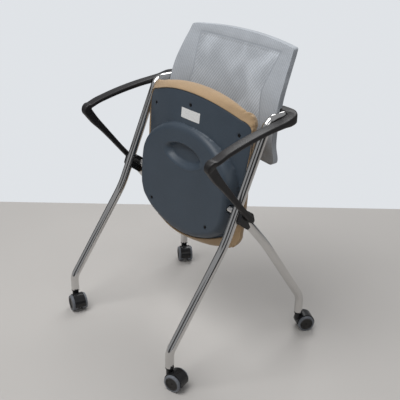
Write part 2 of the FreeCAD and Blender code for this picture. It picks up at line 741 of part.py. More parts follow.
def window_prism():
    """A prism along Y with the outline of the window in the backrest's frame."""
    low = size("window_low_z")
    top = size("window_top_z")
    waist = low + (top - low) * size("window_waist")
    low_half = number("cushion_half_width - window_low_inset")
    waist_half = number("cushion_half_width - window_mid_inset")
    top_half = number("cushion_half_width - window_top_inset")
    corners = [
        Vector(-low_half, 0, low),
        Vector(low_half, 0, low),
        Vector(waist_half, 0, waist),
        Vector(top_half, 0, top),
        Vector(-top_half, 0, top),
        Vector(-waist_half, 0, waist),
    ]
    prism = Part.Face(Part.makePolygon(corners + corners[:1])).extrude(Vector(0, BACK_REACH, 0))
    prism.translate(Vector(0, BACK_START, 0))
    uprights = [edge for edge in prism.Edges if abs(edge.Length - BACK_REACH) < size("running_gap")]
    return feature("window", prism.makeFillet(size("window_corner"), uprights))


def screw_head_y():
    """Where the backrest screws' heads sit, a little sunk in the arm's rear face."""
    return number("arm_rear_y - back_screw_head - back_screw_sink")


def back_screws(name, side):
    """Two screws through the arm's end into the backrest's frame."""
    made = []
    head_y = screw_head_y()
    grip_y = size("arm_front_y") - size("back_screw_grip")
    for index, up in enumerate((-1, 1)):
        z = size("arm_tube_z") + up * size("back_screw_pitch") / 2
        tip = Vector(side * size("back_screw_x"), grip_y, z)
        shank = doc.addObject("Part::Cylinder", f"back_screw_shank_{name}_{index}")
        bind(shank, Radius="back_screw_d / 2")
        shank.Height = head_y - grip_y
        shank.Placement = along(Y_AXIS, tip)
        head_place = along(Y_AXIS, Vector(tip.x, head_y, z))
        head = cylinder(f"back_screw_head_{name}_{index}", "back_screw_head_d / 2", "back_screw_head",
                        head_place)
        made.append(fuse(f"back_screw_{name}_{index}", [shank, head]))
    return made


def backrest(screws):
    """A closed frame with a window, and the knitted sleeve that is drawn over it."""
    thick = size("back_thick")
    skin = size("sleeve_thick")
    whole = common("back_whole", back_slab("back_slab_whole", 0, thick), back_outline("back_prism_whole", 0))
    inside = common("back_inside", back_slab("back_slab_inside", skin, thick - skin),
                    back_outline("back_prism_inside", skin))
    node(cut("backrest_frame", inside, [window_prism()] + screws), "backrest_frame")
    node(cut("backrest_sleeve", whole, [inside] + screws), "backrest_sleeve")
    return whole


def seat_place():
    """The folded seat's frame: X to the left, Y to the sitter's side, Z to the seat's front edge."""
    return Placement(Vector(0, size("pivot_y"), size("pivot_z")), Rotation(X_AXIS, -size("seat_lean")))


def arc_wire(points):
    """A closed wire of arcs: ends and middles alternate."""
    ends = points[::2]
    middles = points[1::2]
    following = ends[1:] + ends[:1]
    arcs = [Part.Arc(start, middle, end).toShape() for start, middle, end in zip(ends, middles, following)]
    return Part.Wire(arcs)


def mirror_points(half):
    """A closed ring of points from its right half, listed from the rear middle to the front middle."""
    left = [Vector(-point.x, point.y, point.z) for point in half[-2:0:-1]]
    return half[1:] + left + half[:1]


def prism(wire, start, end):
    """A wire in the seat's plane, extruded between two heights above the pivot axis."""
    face = Part.Face(wire)
    face.translate(Vector(0, start, 0))
    return face.extrude(Vector(0, end - start, 0))


def trim_reach():
    """How far the solids that trim the seat's pieces reach."""
    return number("cushion_front + cushion_rear")


def shell_outline():
    """The shell's rim seen square to the seat, at height 0."""
    wide = size("cushion_half_width")
    half = [Vector(0, 0, SHELL_REAR)]
    half += [Vector(wide - inside, 0, before) for inside, before in SHELL_SIDE]
    half += [Vector(0, 0, SHELL_FRONT)]
    return arc_wire(mirror_points(half))


def dish(lift, top):
    """The space over the shell's bowed rim plane, raised by a lift, up to a top height."""
    reach = trim_reach()
    half_width = reach / 2
    edge = rim_height(half_width) + lift
    left = Vector(-half_width, edge, 0)
    right = Vector(half_width, edge, 0)
    upper_right = Vector(half_width, top, 0)
    upper_left = Vector(-half_width, top, 0)
    edges = [
        Part.Arc(left, Vector(0, rim_height(0) + lift, 0), right).toShape(),
        Part.LineSegment(right, upper_right).toShape(),
        Part.LineSegment(upper_right, upper_left).toShape(),
        Part.LineSegment(upper_left, left).toShape(),
    ]
    face = Part.Face(Part.Wire(edges))
    face.translate(Vector(0, 0, -reach))
    return face.extrude(Vector(0, 0, 2 * reach))


def rim_height(u):
    """The rim plane's height above the pivot axis, at a distance from the middle."""
    return size("shell_rise") * (u / size("rim_screw_x")) ** 2 - size("shell_low")


def oval(half_width, half_length, middle, height):
    """An ellipse in the seat's plane."""
    curve = Part.Ellipse(Vector(0, 0, 0), max(half_width, half_length), min(half_width, half_length))
    wire = Part.Wire([curve.toShape()])
    wire.rotate(Vector(0, 0, 0), X_AXIS, 90)
    wire.translate(Vector(0, height, middle))
    return wire


def dome(inset, top):
    """The domed middle of the shell: an ellipse that widens up to its foot, drawn in by an inset."""
    head = -size("dome_depth") + inset
    wide = size("dome_half_width") - inset
    long = size("dome_half_length") - inset
    middle = size("dome_middle")
    foot = oval(wide + size("dome_flare_side"), long + size("dome_flare_end"), middle, top)
    form = Part.makeLoft([oval(wide, long, middle, head), foot], True, True)
    edge = min(form.Edges, key=lambda item: item.CenterOfMass.y)
    return form.makeFillet(size("dome_rounding") - inset / 2, [edge])


def shell_screw_places():
    """Where the five screws of the shell stand: (u, v)."""
    side = size("rim_screw_x")
    low = size("rear_screw_x")
    front = size("rim_screw_front")
    rear = -size("rear_screw_back")
    return ((-side, front), (side, front), (0, size("lip_screw_front")), (-low, rear), (low, rear))


def seat_shell(board, cross_hole):
    """The moulded underside: a bowed rim, a dome over the cross tube, a finger recess and bosses."""
    wall = size("shell_wall")
    high = size("board_low")
    reach = trim_reach()
    outline = prism(shell_outline(), -reach, reach)
    outer = dish(0, reach).fuse(dome(0, high))
    inner = dish(wall, reach).fuse(dome(wall, high + wall))
    grip_floor = size("grip_depth") - size("dome_depth")
    grip = oval(size("grip_half_width"), size("grip_half_height"), size("grip_middle"), 0)
    grip_wall = oval(size("grip_half_width") + wall, size("grip_half_height") + wall, size("grip_middle"), 0)
    form = outer.cut(inner).fuse(prism(grip_wall, -size("dome_depth"), grip_floor + wall))
    for u, v in shell_screw_places():
        low = rim_height(u)
        boss = Part.makeCylinder(size("boss_d") / 2, high - low, Vector(u, low, v), Y_AXIS)
        form = form.fuse(boss.common(outer))
    form = form.common(outline).cut(prism(grip, -2 * size("dome_depth"), grip_floor))
    shell = feature("shell_form", form.removeSplitter())
    pockets = [shell_screw(index, True) for index in range(len(shell_screw_places()))]
    made = node(cut("seat_shell", shell, pockets + [board, cross_hole]), "seat_shell")
    made.Placement = seat_place()
    return made


def shell_screw(index, pocket):
    """A pan-headed screw from below the rim into the board, or the pocket that it stands in."""
    u, v = shell_screw_places()[index]
    seat_height = rim_height(u) + size("screw_sink")
    kind = "pocket" if pocket else "screw"
    shank = doc.addObject("Part::Cylinder", f"shell_{kind}_shank_{index}")
    bind(shank, Radius="shell_screw_d / 2")
    shank.Height = number("board_low + shell_screw_grip") - seat_height
    shank.Placement = along(Y_AXIS, Vector(u, seat_height, v))
    room = "shell_screw_room" if pocket else "0"
    head_height = "shell_screw_head + pocket_depth" if pocket else "shell_screw_head"
    head = cylinder(f"shell_{kind}_head_{index}", f"shell_screw_head_d / 2 + {room}", head_height,
                    along(-Y_AXIS, Vector(u, seat_height, v)))
    return fuse(f"shell_{kind}_{index}", [shank, head])


def board_prism(name, start, height):
    """A prism with the board's rounded outline, from a start height down by a height."""
    corners = [
        ("-board_half_width", "-board_rear"),
        ("board_half_width", "-board_rear"),
        ("board_half_width", "board_front"),
        ("-board_half_width", "board_front"),
    ]
    place = Placement(Vector(0, number(start), 0), Rotation())
    return padded(name, "XZ_Plane", corners, height, place, "board_corner")


def cushion_outline(scale, height):
    """The cushion seen square to the seat, scaled about its middle."""
    wide = size("cushion_half_width")
    front = size("cushion_front")
    rear = -size("cushion_rear")
    half = [Vector(0, 0, rear)]
    half += [Vector(wide - inside, 0, rear + before) for inside, before in CUSHION_REAR]
    half += [Vector(wide, 0, (front + rear) / 2)]
    half += [Vector(wide - inside, 0, front - behind) for inside, behind in CUSHION_FRONT]
    half += [Vector(0, 0, front)]
    middle = Vector(0, 0, (front + rear) / 2)
    placed = [middle + (point - middle) * scale + Vector(0, height, 0) for point in half]
    return arc_wire(mirror_points(placed))


def seat_cushion(board):
    """Foam with a crown and drawn-in sides, wrapped over the board down to the shell's rim."""
    side = size("cushion_side")
    crown = size("cushion_top") - side
    wires = [cushion_outline(share, side * up + crown * over) for share, up, over in CUSHION_LEVELS]
    form = Part.makeLoft(wires, True, True)
    under = dish(size("shell_wall") + size("soft_gap"), trim_reach())
    whole = feature("cushion_form", form.common(under))
    below = board_prism("cushion_hollow", "board_low", "board_low + dome_depth")
    made = node(cut("seat_cushion", whole, [board, below]), "seat_cushion")
    made.Placement = seat_place()
    return made


def blank_label():
    """A thin blank label on the rim, between the dome and the shell's front edge."""
    corners = [
        ("label_offset - label_width / 2", "label_low"),
        ("label_offset + label_width / 2", "label_low"),
        ("label_offset + label_width / 2", "label_low + label_height"),
        ("label_offset - label_width / 2", "label_low + label_height"),
    ]
    card = padded("label_card", "XZ_Plane", corners, "dome_depth", Placement())
    reach = trim_reach()
    sheet_form = dish(-size("label_thick"), reach).cut(dish(0, reach))
    made = node(common("blank_label", card, feature("label_skin", sheet_form)), "blank_label")
    made.Placement = seat_place()
    return made


def seat_brackets(board_holes):
    """On each side a plate under the board, with an ear round the cross tube and a bush in it."""
    for name, side in SIDES:
        inner = size("bracket_inner_x")
        plate_x = inner if side > 0 else -size("bracket_outer_x")
        ear_x = size("ear_x") if side > 0 else -number("ear_x + ear_thick")
        plate_low = number("board_low - bracket_plate")
        half_length = size("bracket_half_length")
        plate = box(f"bracket_plate_{name}", "bracket_outer_x - bracket_inner_x", "bracket_plate",
                    "2 * bracket_half_length", Placement(Vector(plate_x, plate_low, -half_length), Rotation()))
        ear_round = cylinder(f"ear_round_{name}", "ear_radius", "ear_thick", along(X_AXIS, Vector(ear_x, 0, 0)))
        ear_neck = box(f"ear_neck_{name}", "ear_thick", "board_low - bracket_plate", "2 * ear_radius",
                       Placement(Vector(ear_x, 0, -size("ear_radius")), Rotation()))
        bush_x = ear_x + (size("ear_thick") - size("bush_width")) / 2
        bush_place = along(X_AXIS, Vector(bush_x, 0, 0))
        bush_full = cylinder(f"bush_full_{name}", "bush_outer / 2", "bush_width", bush_place)
        bush_bore = cylinder(f"bush_bore_{name}", "cross_outer / 2 + running_gap", "bush_width", bush_place)
        form = fuse(f"bracket_form_{name}", [plate, ear_round, ear_neck])
        for label, base, tools in (
            (f"seat_bracket_{name}", form, [bush_full] + board_holes[name]),
            (f"pivot_bush_{name}", bush_full, [bush_bore]),
        ):
            node(cut(label, base, tools), label).Placement = seat_place()


def bracket_bolts():
    """Four bolts through each bracket into the board, by side."""
    made = {}
    for name, side in SIDES:
        made[name] = []
        seat_height = number("board_low - bracket_plate")
        near = number("bracket_inner_x + bracket_bolt_edge")
        far = number("bracket_outer_x - bracket_bolt_edge")
        reach = number("bracket_half_length - bracket_bolt_edge")
        for index, (u, v) in enumerate(((near, -reach), (near, reach), (far, -reach), (far, reach))):
            seat = Vector(side * u, seat_height, v)
            shank = cylinder(f"bracket_shank_{name}_{index}", "bracket_bolt_d / 2",
                             "bracket_plate + bracket_bolt_grip", along(Y_AXIS, seat))
            head = cylinder(f"bracket_head_{name}_{index}", "bracket_bolt_head_d / 2", "bracket_bolt_head",
                            along(-Y_AXIS, seat))
            made[name].append(fuse(f"bracket_bolt_{name}_{index}", [shank, head]))
    return made


def stop_collars(cross):
    """On each side a collar fixed on the cross tube; its lugs meet the bracket at both ends of the travel."""
    half_angle = size("stop_angle")
    turn = math.radians(half_angle)
    plate_low = number("board_low - bracket_plate")
    half_lug = size("stop_lug") / 2
    reach = (plate_low - size("stop_gap") - half_lug * math.sin(turn)) / math.cos(turn)
    folded = -size("seat_lean")
    lowered = folded + size("seat_travel")
    for name, side in SIDES:
        x = size("stop_x") if side > 0 else -number("stop_x + stop_width")
        collar = cylinder(f"stop_ring_{name}", "stop_collar_d / 2", "stop_width", pivot_place(x))
        lugs = []
        for pose, angle in (("folded", folded - half_angle), ("lowered", lowered + half_angle)):
            rotation = Rotation(X_AXIS, angle)
            corner = Vector(x, size("pivot_y"), size("pivot_z")) - rotation.multVec(Vector(0, 0, half_lug))
            lug = doc.addObject("Part::Box", f"stop_lug_{pose}_{name}")
            bind(lug, Length="stop_width", Height="stop_lug")
            lug.Width = reach
            lug.Placement = Placement(corner, rotation)
            lugs.append(lug)
        label = f"stop_collar_{name}"
        node(cut(label, fuse(f"stop_form_{name}", [collar] + lugs), [cross]), label)


def caster_place(name, side, end):
    """A caster's frame: the floor point under the swivel axis, with X where the caster trails."""
    foot = Vector(side * size(f"{end}_foot_x"), size("rear_foot_y") if end == "rear" else 0, 0)
    return Placement(foot, Rotation(Z_AXIS, size(f"{name}_turn")))


def caster_socket(name, place):
    """A moulded socket pressed into the tube's foot, with a collar under the tube's end."""
    top = "foot_height + socket_length"
    low = "foot_height - socket_collar"
    bore_top = "foot_height + socket_length - socket_cap"
    profile = [
        ("stem_d / 2 + running_gap", low),
        ("tube_outer / 2", low),
        ("tube_outer / 2", "foot_height"),
        ("tube_outer / 2 - tube_wall", "foot_height"),
        ("tube_outer / 2 - tube_wall", top),
        ("0", top),
        ("0", bore_top),
        ("stem_d / 2 + running_gap", bore_top),
    ]
    node(turned(f"caster_socket_{name}", profile, place), f"caster_socket_{name}")


def caster(name, place):
    """Stem, hood, axle and two wheels with their treads, in the caster's frame."""
    trail = size("caster_trail")
    axle_z = size("wheel_d") / 2
    stem_top = "foot_height + socket_length - socket_cap - stem_play"
    stem = cylinder(f"stem_{name}", "stem_d / 2", f"{stem_top} - stem_low",
                    Placement(Vector(0, 0, size("stem_low")), Rotation()))
    stem_tool = cylinder(f"stem_tool_{name}", "stem_d / 2", f"{stem_top} - stem_low", stem.Placement)
    node(stem, f"caster_stem_{name}").Placement = place.multiply(stem.Placement)

    half_hood = "wheel_pitch / 2 + wheel_width / 2 - hood_side"
    axle_line = Placement(Vector(trail, number(half_hood), axle_z), Rotation(X_AXIS, 90))
    start = Placement(Vector(), Rotation(Z_AXIS, size("hood_start")))
    cover = cylinder(f"hood_cover_{name}", "wheel_d / 2 + hood_gap + hood_thick", f"2 * ({half_hood})",
                     axle_line.multiply(start), Angle="hood_sweep")
    web_y = number("hood_web / 2")
    web = cylinder(f"hood_web_{name}", "axle_boss_d / 2", "hood_web",
                   Placement(Vector(trail, web_y, axle_z), Rotation(X_AXIS, 90)))
    boss_top = "foot_height - socket_collar - swivel_gap"
    boss = cylinder(f"hood_boss_{name}", "stem_boss_d / 2", f"{boss_top} - stem_boss_low",
                    Placement(Vector(0, 0, size("stem_boss_low")), Rotation()))
    pockets = []
    for letter, y in (("a", number(half_hood)), ("b", -web_y)):
        pockets.append(cylinder(f"hood_pocket_{letter}_{name}", "wheel_d / 2 + hood_gap",
                                f"{half_hood} - hood_web / 2",
                                Placement(Vector(trail, y, axle_z), Rotation(X_AXIS, 90))))
    axle_half = number("wheel_pitch / 2 + wheel_width / 2 - axle_edge")
    axle_place = Placement(Vector(trail, axle_half, axle_z), Rotation(X_AXIS, 90))
    axle_length = "2 * (wheel_pitch / 2 + wheel_width / 2 - axle_edge)"
    axle_tool = cylinder(f"axle_tool_{name}", "axle_d / 2", axle_length, axle_place)
    hood = cut(f"hood_{name}", fuse(f"hood_form_{name}", [cover, web, boss]), pockets + [axle_tool, stem_tool])
    node(hood, f"caster_hood_{name}").Placement = place
    axle = cylinder(f"axle_{name}", "axle_d / 2", axle_length, place.multiply(axle_place))
    node(axle, f"caster_axle_{name}")
    for letter, way in (("a", 1), ("b", -1)):
        middle = Vector(trail, way * size("wheel_pitch") / 2, axle_z)
        wheel(f"{name}_{letter}", place.multiply(along(Vector(0, way, 0), middle)))


def wheel(name, place):
    """A hub with a dished outer face, and the tread round it; Z points out of the caster."""
    half = "wheel_width / 2"
    hub_radius = "wheel_d / 2 - tread_thick"
    hub_profile = [
        ("axle_d / 2 + running_gap", f"-{half}"),
        (hub_radius, f"-{half}"),
        (hub_radius, half),
        ("hub_dish_d / 2 + hub_dish", half),
        ("hub_dish_d / 2", f"{half} - hub_dish"),
        ("axle_d / 2 + running_gap", f"{half} - hub_dish"),
    ]
    tread_profile = [
        (hub_radius, f"-{half}"),
        ("wheel_d / 2 - tread_bevel", f"-{half}"),
        ("wheel_d / 2", f"-{half} + tread_bevel"),
        ("wheel_d / 2", f"{half} - tread_bevel"),
        ("wheel_d / 2 - tread_bevel", half),
        (hub_radius, half),
    ]
    node(turned(f"hub_{name}", hub_profile, place), f"caster_hub_{name}")
    node(turned(f"tread_{name}", tread_profile, place), f"caster_tread_{name}")


def frame_and_back():
    """The fixed frame: legs, housings, cross tube, stops, armrests, backrest and their fasteners."""
    cross = cross_tube()
    bolts = [arm_bolt(name, side) for name, side in SIDES]
    screws = {name: back_screws(name, side) for name, side in SIDES}
    back = backrest(screws["left"] + screws["right"])
    for (name, side), bolt in zip(SIDES, bolts):
        front = front_leg(name, side)
        rear = rear_leg(name, side)
        pivot_housing(name, side, front, rear, cross, bolt)
        sink = cylinder(f"bolt_sink_{name}", "arm_bolt_head_d / 2 + arm_bolt_room", "strut_width",
                        along(Vector(side, 0, 0), bolt_seat(side)))
        sinks = []
        for index, up in enumerate((-1, 1)):
            z = size("arm_tube_z") + up * size("back_screw_pitch") / 2
            place = along(Y_AXIS, Vector(side * size("back_screw_x"), screw_head_y(), z))
            sinks.append(cylinder(f"screw_sink_{name}_{index}", "back_screw_head_d / 2 + back_screw_room",
                                  "strut_width", place))
        armrest(name, side, [front, rear, back, bolt, sink] + screws[name] + sinks)
    stop_collars(cross)
    node(together("arm_bolts", bolts), "arm_bolts")
    node(together("back_screws", screws["left"] + screws["right"]), "back_screws")


def seat():
    """The turning seat: board, cushion, shell, label, brackets, bushes and their fasteners."""
    screws = [shell_screw(index, False) for index in range(len(shell_screw_places()))]
    bolts = bracket_bolts()
    board = board_prism("board_blank", "board_low + board_thick", "board_thick")
    hole = cylinder("cross_hole", "cross_outer / 2 + shell_wall / 2", "2 * cushion_half_width",
                    along(X_AXIS, Vector(-size("cushion_half_width"), 0, 0)))
    seat_shell(board, hole)
    seat_cushion(board)
    blank_label()
    all_bolts = bolts["left"] + bolts["right"]
    node(cut("seat_board", board, screws + all_bolts), "seat_board").Placement = seat_place()
    seat_brackets(bolts)
    for label, fasteners in (("shell_screws", screws), ("bracket_bolts", all_bolts)):
        node(together(label, fasteners), label).Placement = seat_place()


def check_document():
    """Stops if an object has failed, or a sub-part is empty or not a valid solid."""
    for thing in doc.Objects:
        if {"Invalid", "Error"} & set(thing.State):
            raise RuntimeError(f"{thing.Name} has failed")
    for part in nodes:
        if part.Shape.isNull() or not part.Shape.Solids or not part.Shape.isValid():
            raise RuntimeError(f"{part.Label} is not a valid solid")


def stand_on_origin():
    """Moves every sub-part so that the overall box's bottom centre is the origin."""
    overall = FreeCAD.BoundBox()
    for part in nodes:
        overall.add(part.Shape.optimalBoundingBox())
    shift = Vector(-overall.Center.x, -overall.Center.y, -overall.ZMin)
    for part in nodes:
        part.Placement = Placement(shift, Rotation()).multiply(part.Placement)
    return overall, shift


def main():
    """Builds every sub-part, stands the chair on its origin and writes the files."""
    frame_and_back()
    seat()
    for name, side, end in CASTERS:
        place = caster_place(name, side, end)
        caster_socket(name, place)
        caster(name, place)
    doc.recompute()
    check_document()
    overall, shift = stand_on_origin()
    os.makedirs("parts", exist_ok=True)
    for part in nodes:
        part.Shape.exportStep(f"parts/{part.Label}.step")
    print(len(nodes), "sub-parts, overall", overall.XLength, overall.YLength, overall.ZLength, "moved", shift)


main()
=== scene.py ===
"""Dresses the nesting chair: seat shell, cushion, knitted back, armrests, screws, finishes and stage.

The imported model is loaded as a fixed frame, in metres. New pieces take its places, and the CAD
nodes that stay get their finishes here.
"""

import json
import math

import bmesh
import bpy
import numpy as np
from mathutils import Matrix, Vector


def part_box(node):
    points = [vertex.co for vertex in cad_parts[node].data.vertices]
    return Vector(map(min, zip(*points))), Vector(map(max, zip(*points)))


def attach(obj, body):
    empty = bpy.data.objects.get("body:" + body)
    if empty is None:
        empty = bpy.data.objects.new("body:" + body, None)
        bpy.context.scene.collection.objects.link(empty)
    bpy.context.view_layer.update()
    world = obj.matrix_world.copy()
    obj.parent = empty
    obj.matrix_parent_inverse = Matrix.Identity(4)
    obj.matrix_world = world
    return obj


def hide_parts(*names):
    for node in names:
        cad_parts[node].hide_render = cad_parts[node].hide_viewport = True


bl_info = {
    "name": "Nesting chair dressing",
    "version": (1, 0, 0),
    "blender": (4, 5, 0),
    "location": "View3D > Sidebar > Nesting chair",
    "description": "Models and finishes the soft and moulded pieces of a nesting chair",
    "category": "Object",
}

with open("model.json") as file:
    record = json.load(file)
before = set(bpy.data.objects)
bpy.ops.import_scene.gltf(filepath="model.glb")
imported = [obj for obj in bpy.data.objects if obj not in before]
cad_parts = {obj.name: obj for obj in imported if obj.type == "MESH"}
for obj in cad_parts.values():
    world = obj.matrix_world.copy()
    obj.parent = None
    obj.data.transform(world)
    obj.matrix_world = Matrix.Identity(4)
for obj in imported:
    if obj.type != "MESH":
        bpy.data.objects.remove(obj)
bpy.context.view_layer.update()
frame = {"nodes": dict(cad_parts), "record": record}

MM = 0.001
SEAT_LEAN = math.radians(6)
PIVOT_BACK = 248.0  # how far the pivot stands behind the front feet, in millimetres
CAMERA_TURN = math.radians(49.96)
TUBE_RADIUS = 0.0125


def pivot_point():
    """The seat's turning point, in the middle of the cross tube."""
    low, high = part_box("cross_tube")
    return (Vector(low) + Vector(high)) / 2


PIVOT = pivot_point()


def length(name, description, default, low, high):
    """A length in metres that a user may change."""
    return bpy.props.FloatProperty(name=name, description=description, default=default, min=low, max=high,
                                   subtype="DISTANCE")


def tint(name, description, default):
    """A colour that a user may change."""
    return bpy.props.FloatVectorProperty(name=name, description=description, default=default, min=0, max=1,
                                         subtype="COLOR")


class ChairSizes(bpy.types.PropertyGroup):
    """What a user may change in the soft and moulded pieces."""

    shoulder: length("Dome shoulder", "Breadth of the rounding round the shell's dome", 0.022, 0.005, 0.05)
    shell_wall: length("Shell wall", "Thickness of the moulded seat shell", 0.003, 0.001, 0.006)
    puff: length("Cushion puff", "How far the pressed-out foam may swell", 0.005, 0.0, 0.012)
    gather: length("Gathers", "Depth of the folds at the cushion's corners", 0.005, 0.0, 0.008)
    back_thickness: length("Backrest thickness", "The backrest with its knitted sleeve", 0.0176, 0.008, 0.02)
    rib_pitch: length("Rib pitch", "Distance between the ribs of the knit", 0.0070, 0.001, 0.012)


class ChairColours(bpy.types.PropertyGroup):
    """The colours of the chair's finishes."""

    shell: tint("Shell", "Moulded seat shell", (0.046, 0.063, 0.084))
    upholstery: tint("Upholstery", "Seat cover", (0.44, 0.295, 0.16))
    knit: tint("Knit", "Backrest sleeve", (0.43, 0.458, 0.495))
    arm: tint("Arms", "Moulded armrests", (0.011, 0.0098, 0.0105))
    tread: tint("Treads", "Caster treads", (0.15, 0.16, 0.18))
    floor: tint("Floor", "Plain floor of the stage", (0.50, 0.48, 0.458))


def sizes():
    return bpy.context.scene.chair_sizes


def colours():
    return bpy.context.scene.chair_colours


def deselect():
    """Leaves edit mode and selects nothing."""
    if bpy.context.object and bpy.context.object.mode != "OBJECT":
        bpy.ops.object.mode_set(mode="OBJECT")
    bpy.ops.object.select_all(action="DESELECT")


def pick(piece):
    """Makes a piece the only one that operators act on."""
    deselect()
    piece.select_set(True)
    bpy.context.view_layer.objects.active = piece


def apply_modifiers(piece):
    """Applies a piece's modifiers in their order."""
    pick(piece)
    for modifier in list(piece.modifiers):
        bpy.ops.object.modifier_apply(modifier=modifier.name)


def add_modifier(piece, name, kind, **values):
    """Adds a modifier with its values and applies it."""
    modifier = piece.modifiers.new(name, kind)
    for key, value in values.items():
        setattr(modifier, key, value)
    apply_modifiers(piece)


def settle(piece, angle=35):
    """Applies a piece's place, and shades it smooth up to an angle."""
    pick(piece)
    bpy.ops.object.transform_apply(location=True, rotation=True, scale=True)
    bpy.ops.object.shade_smooth_by_angle(angle=math.radians(angle))
    return piece


def outward(piece):
    """Turns a closed piece's faces outwards, with its doubles merged."""
    pick(piece)
    bpy.ops.object.mode_set(mode="EDIT")
    bpy.ops.mesh.select_all(action="SELECT")
    bpy.ops.mesh.remove_doubles(threshold=1e-6)
    bpy.ops.mesh.normals_make_consistent(inside=False)
    bpy.ops.object.mode_set(mode="OBJECT")


def points_of(piece):
    """A piece's vertices as an array."""
    made = np.empty(len(piece.data.vertices) * 3)
    piece.data.vertices.foreach_get("co", made)
    return made.reshape(-1, 3)


def set_points(piece, points):
    """Moves a piece's vertices to the rows of an array."""
    piece.data.vertices.foreach_set("co", np.asarray(points, float).ravel())
    piece.data.update()


def grid(name, across, along):
    """A flat grid from -1 to 1 in X and Y."""
    deselect()
    bpy.ops.mesh.primitive_grid_add(x_subdivisions=across, y_subdivisions=along, size=2)
    piece = bpy.context.object
    piece.name = name
    return piece


def stacked(name, rings):
    """A closed form: a disc put on the first ring, then extruded in edit mode from ring to ring.

    Each ring is an array of points, and all rings run round together.
    """
    deselect()
    bpy.ops.mesh.primitive_circle_add(vertices=len(rings[0]), fill_type="NGON")
    piece = bpy.context.object
    piece.name = name
    bpy.ops.object.mode_set(mode="EDIT")
    bpy.ops.mesh.select_all(action="SELECT")
    order = None
    for index, ring in enumerate(rings):
        if index:
            bpy.ops.mesh.extrude_region_move()
        mesh = bmesh.from_edit_mesh(piece.data)
        chosen = [vertex for vertex in mesh.verts if vertex.select]
        if order is None:
            chosen.sort(key=lambda vertex: math.atan2(vertex.co.y, vertex.co.x))
        else:
            nearest = {tuple(round(value, 7) for value in point): at for at, point in enumerate(order)}
            chosen.sort(key=lambda vertex: nearest[tuple(round(value, 7) for value in vertex.co)])
        for vertex, point in zip(chosen, ring):
            vertex.co = point
        order = [tuple(vertex.co) for vertex in chosen]
        bmesh.update_edit_mesh(piece.data)
    bpy.ops.object.mode_set(mode="OBJECT")
    outward(piece)
    return piece


def arc(first, middle, last, count):
    """Points on the circle through three points, without the last one."""
    (ax, ay), (bx, by), (cx, cy) = first, middle, last
    turn = 2 * (ax * (by - cy) + bx * (cy - ay) + cx * (ay - by))
    if abs(turn) < 1e-9:
        return [(ax + (cx - ax) * t / count, ay + (cy - ay) * t / count) for t in range(count)]
    a2, b2, c2 = ax * ax + ay * ay, bx * bx + by * by, cx * cx + cy * cy
    ox = (a2 * (by - cy) + b2 * (cy - ay) + c2 * (ay - by)) / turn
    oy = (a2 * (cx - bx) + b2 * (ax - cx) + c2 * (bx - ax)) / turn
    radius = math.hypot(ax - ox, ay - oy)
    start = math.atan2(ay - oy, ax - ox)
    end = math.atan2(cy - oy, cx - ox)
    way = 1 if (bx - ax) * (cy - ay) - (by - ay) * (cx - ax) > 0 else -1
    sweep = (end - start) * way % (2 * math.pi) * way
    return [(ox + radius * math.cos(start + sweep * t / count), oy + radius * math.sin(start + sweep * t / count))
            for t in range(count)]


def arc_ring(right_half, count=24):
    """A closed outline of arcs from its right half, rear middle first; ends and middles alternate."""
    left = [(-x, y) for x, y in right_half[-2:0:-1]]
    ring = right_half[1:] + left + right_half[:1]
    ends, middles = ring[::2], ring[1::2]
    points = []
    for first, middle, last in zip(ends, middles, ends[1:] + ends[:1]):
        points += arc(first, middle, last, count)
    return np.array(points)


class Outline:
    """A closed outline that can be asked how far out it lies in any direction from its middle."""

    def __init__(self, points, middle):
        self.middle = np.array(middle, float)
        away = np.asarray(points, float) - self.middle
        angles = np.arctan2(away[:, 1], away[:, 0])
        order = np.argsort(angles)
        self.angles = angles[order]
        self.reach = np.hypot(away[:, 0], away[:, 1])[order]

    def radius(self, angle):
        return np.interp(angle, self.angles, self.reach, period=2 * math.pi)

    def fill(self, square):
        """Carries points of the square from -1 to 1 into the outline."""
        x, y = square[:, 0], square[:, 1]
        across = x * np.sqrt(1 - y * y / 2)
        along = y * np.sqrt(1 - x * x / 2)
        angle = np.arctan2(along, across)
        share = np.hypot(across, along)
        reach = self.radius(angle) * share
        return self.middle + np.stack([reach * np.cos(angle), reach * np.sin(angle)], axis=1)

    def inside(self, points):
        """How far inside the outline each point lies, measured towards the middle."""
        away = points - self.middle
        return self.radius(np.arctan2(away[:, 1], away[:, 0])) - np.hypot(away[:, 0], away[:, 1])


SHELL_RIM = arc_ring([(0, -146), (160, -106), (190, -84), (205, -50), (214, 60), (229, 198), (221, 229),
                      (188, 246), (0, 278)])
CUSHION_EDGE = arc_ring([(0, -165), (180, -135), (213, -117), (226, -81), (228, 68), (227, 235), (220, 261),
                         (190, 273), (0, 301)], 12)
DOME_LOW = [(204.8, 15), (203.4, -19), (198.6, -52), (183.5, -82), (153, -105), (100, -127), (49, -137.6), (0, -141)]


def dome_edge():
    """The dome's outline: half an ellipse to the front, and close along the shell's edge to the rear."""
    upper = [(205 * math.cos(t), 49 + 134 * math.sin(t)) for t in np.linspace(0, math.pi, 61)]
    left = [(-x, y) for x, y in DOME_LOW[:-1]]
    return np.array(upper + left + DOME_LOW[::-1])


def rim_height(across):
    """The shell's rim plane above the pivot, in millimetres: it bows up towards the sides."""
    return 22 * (across / 185) ** 2 - 8


def smooth(amount):
    """A soft step from 0 to 1."""
    amount = np.clip(amount, 0, 1)
    return amount * amount * (3 - 2 * amount)


def place_on_seat(points):
    """Seat places in millimetres, (across, before the pivot, above it), in the chair's frame."""
    points = np.asarray(points, float) * MM
    across, before, above = points[:, 0], points[:, 1], points[:, 2]
    cos, sin = math.cos(SEAT_LEAN), math.sin(SEAT_LEAN)
    return np.stack([PIVOT.x + across, PIVOT.y + above * cos + before * sin,
                     PIVOT.z - above * sin + before * cos], axis=1)


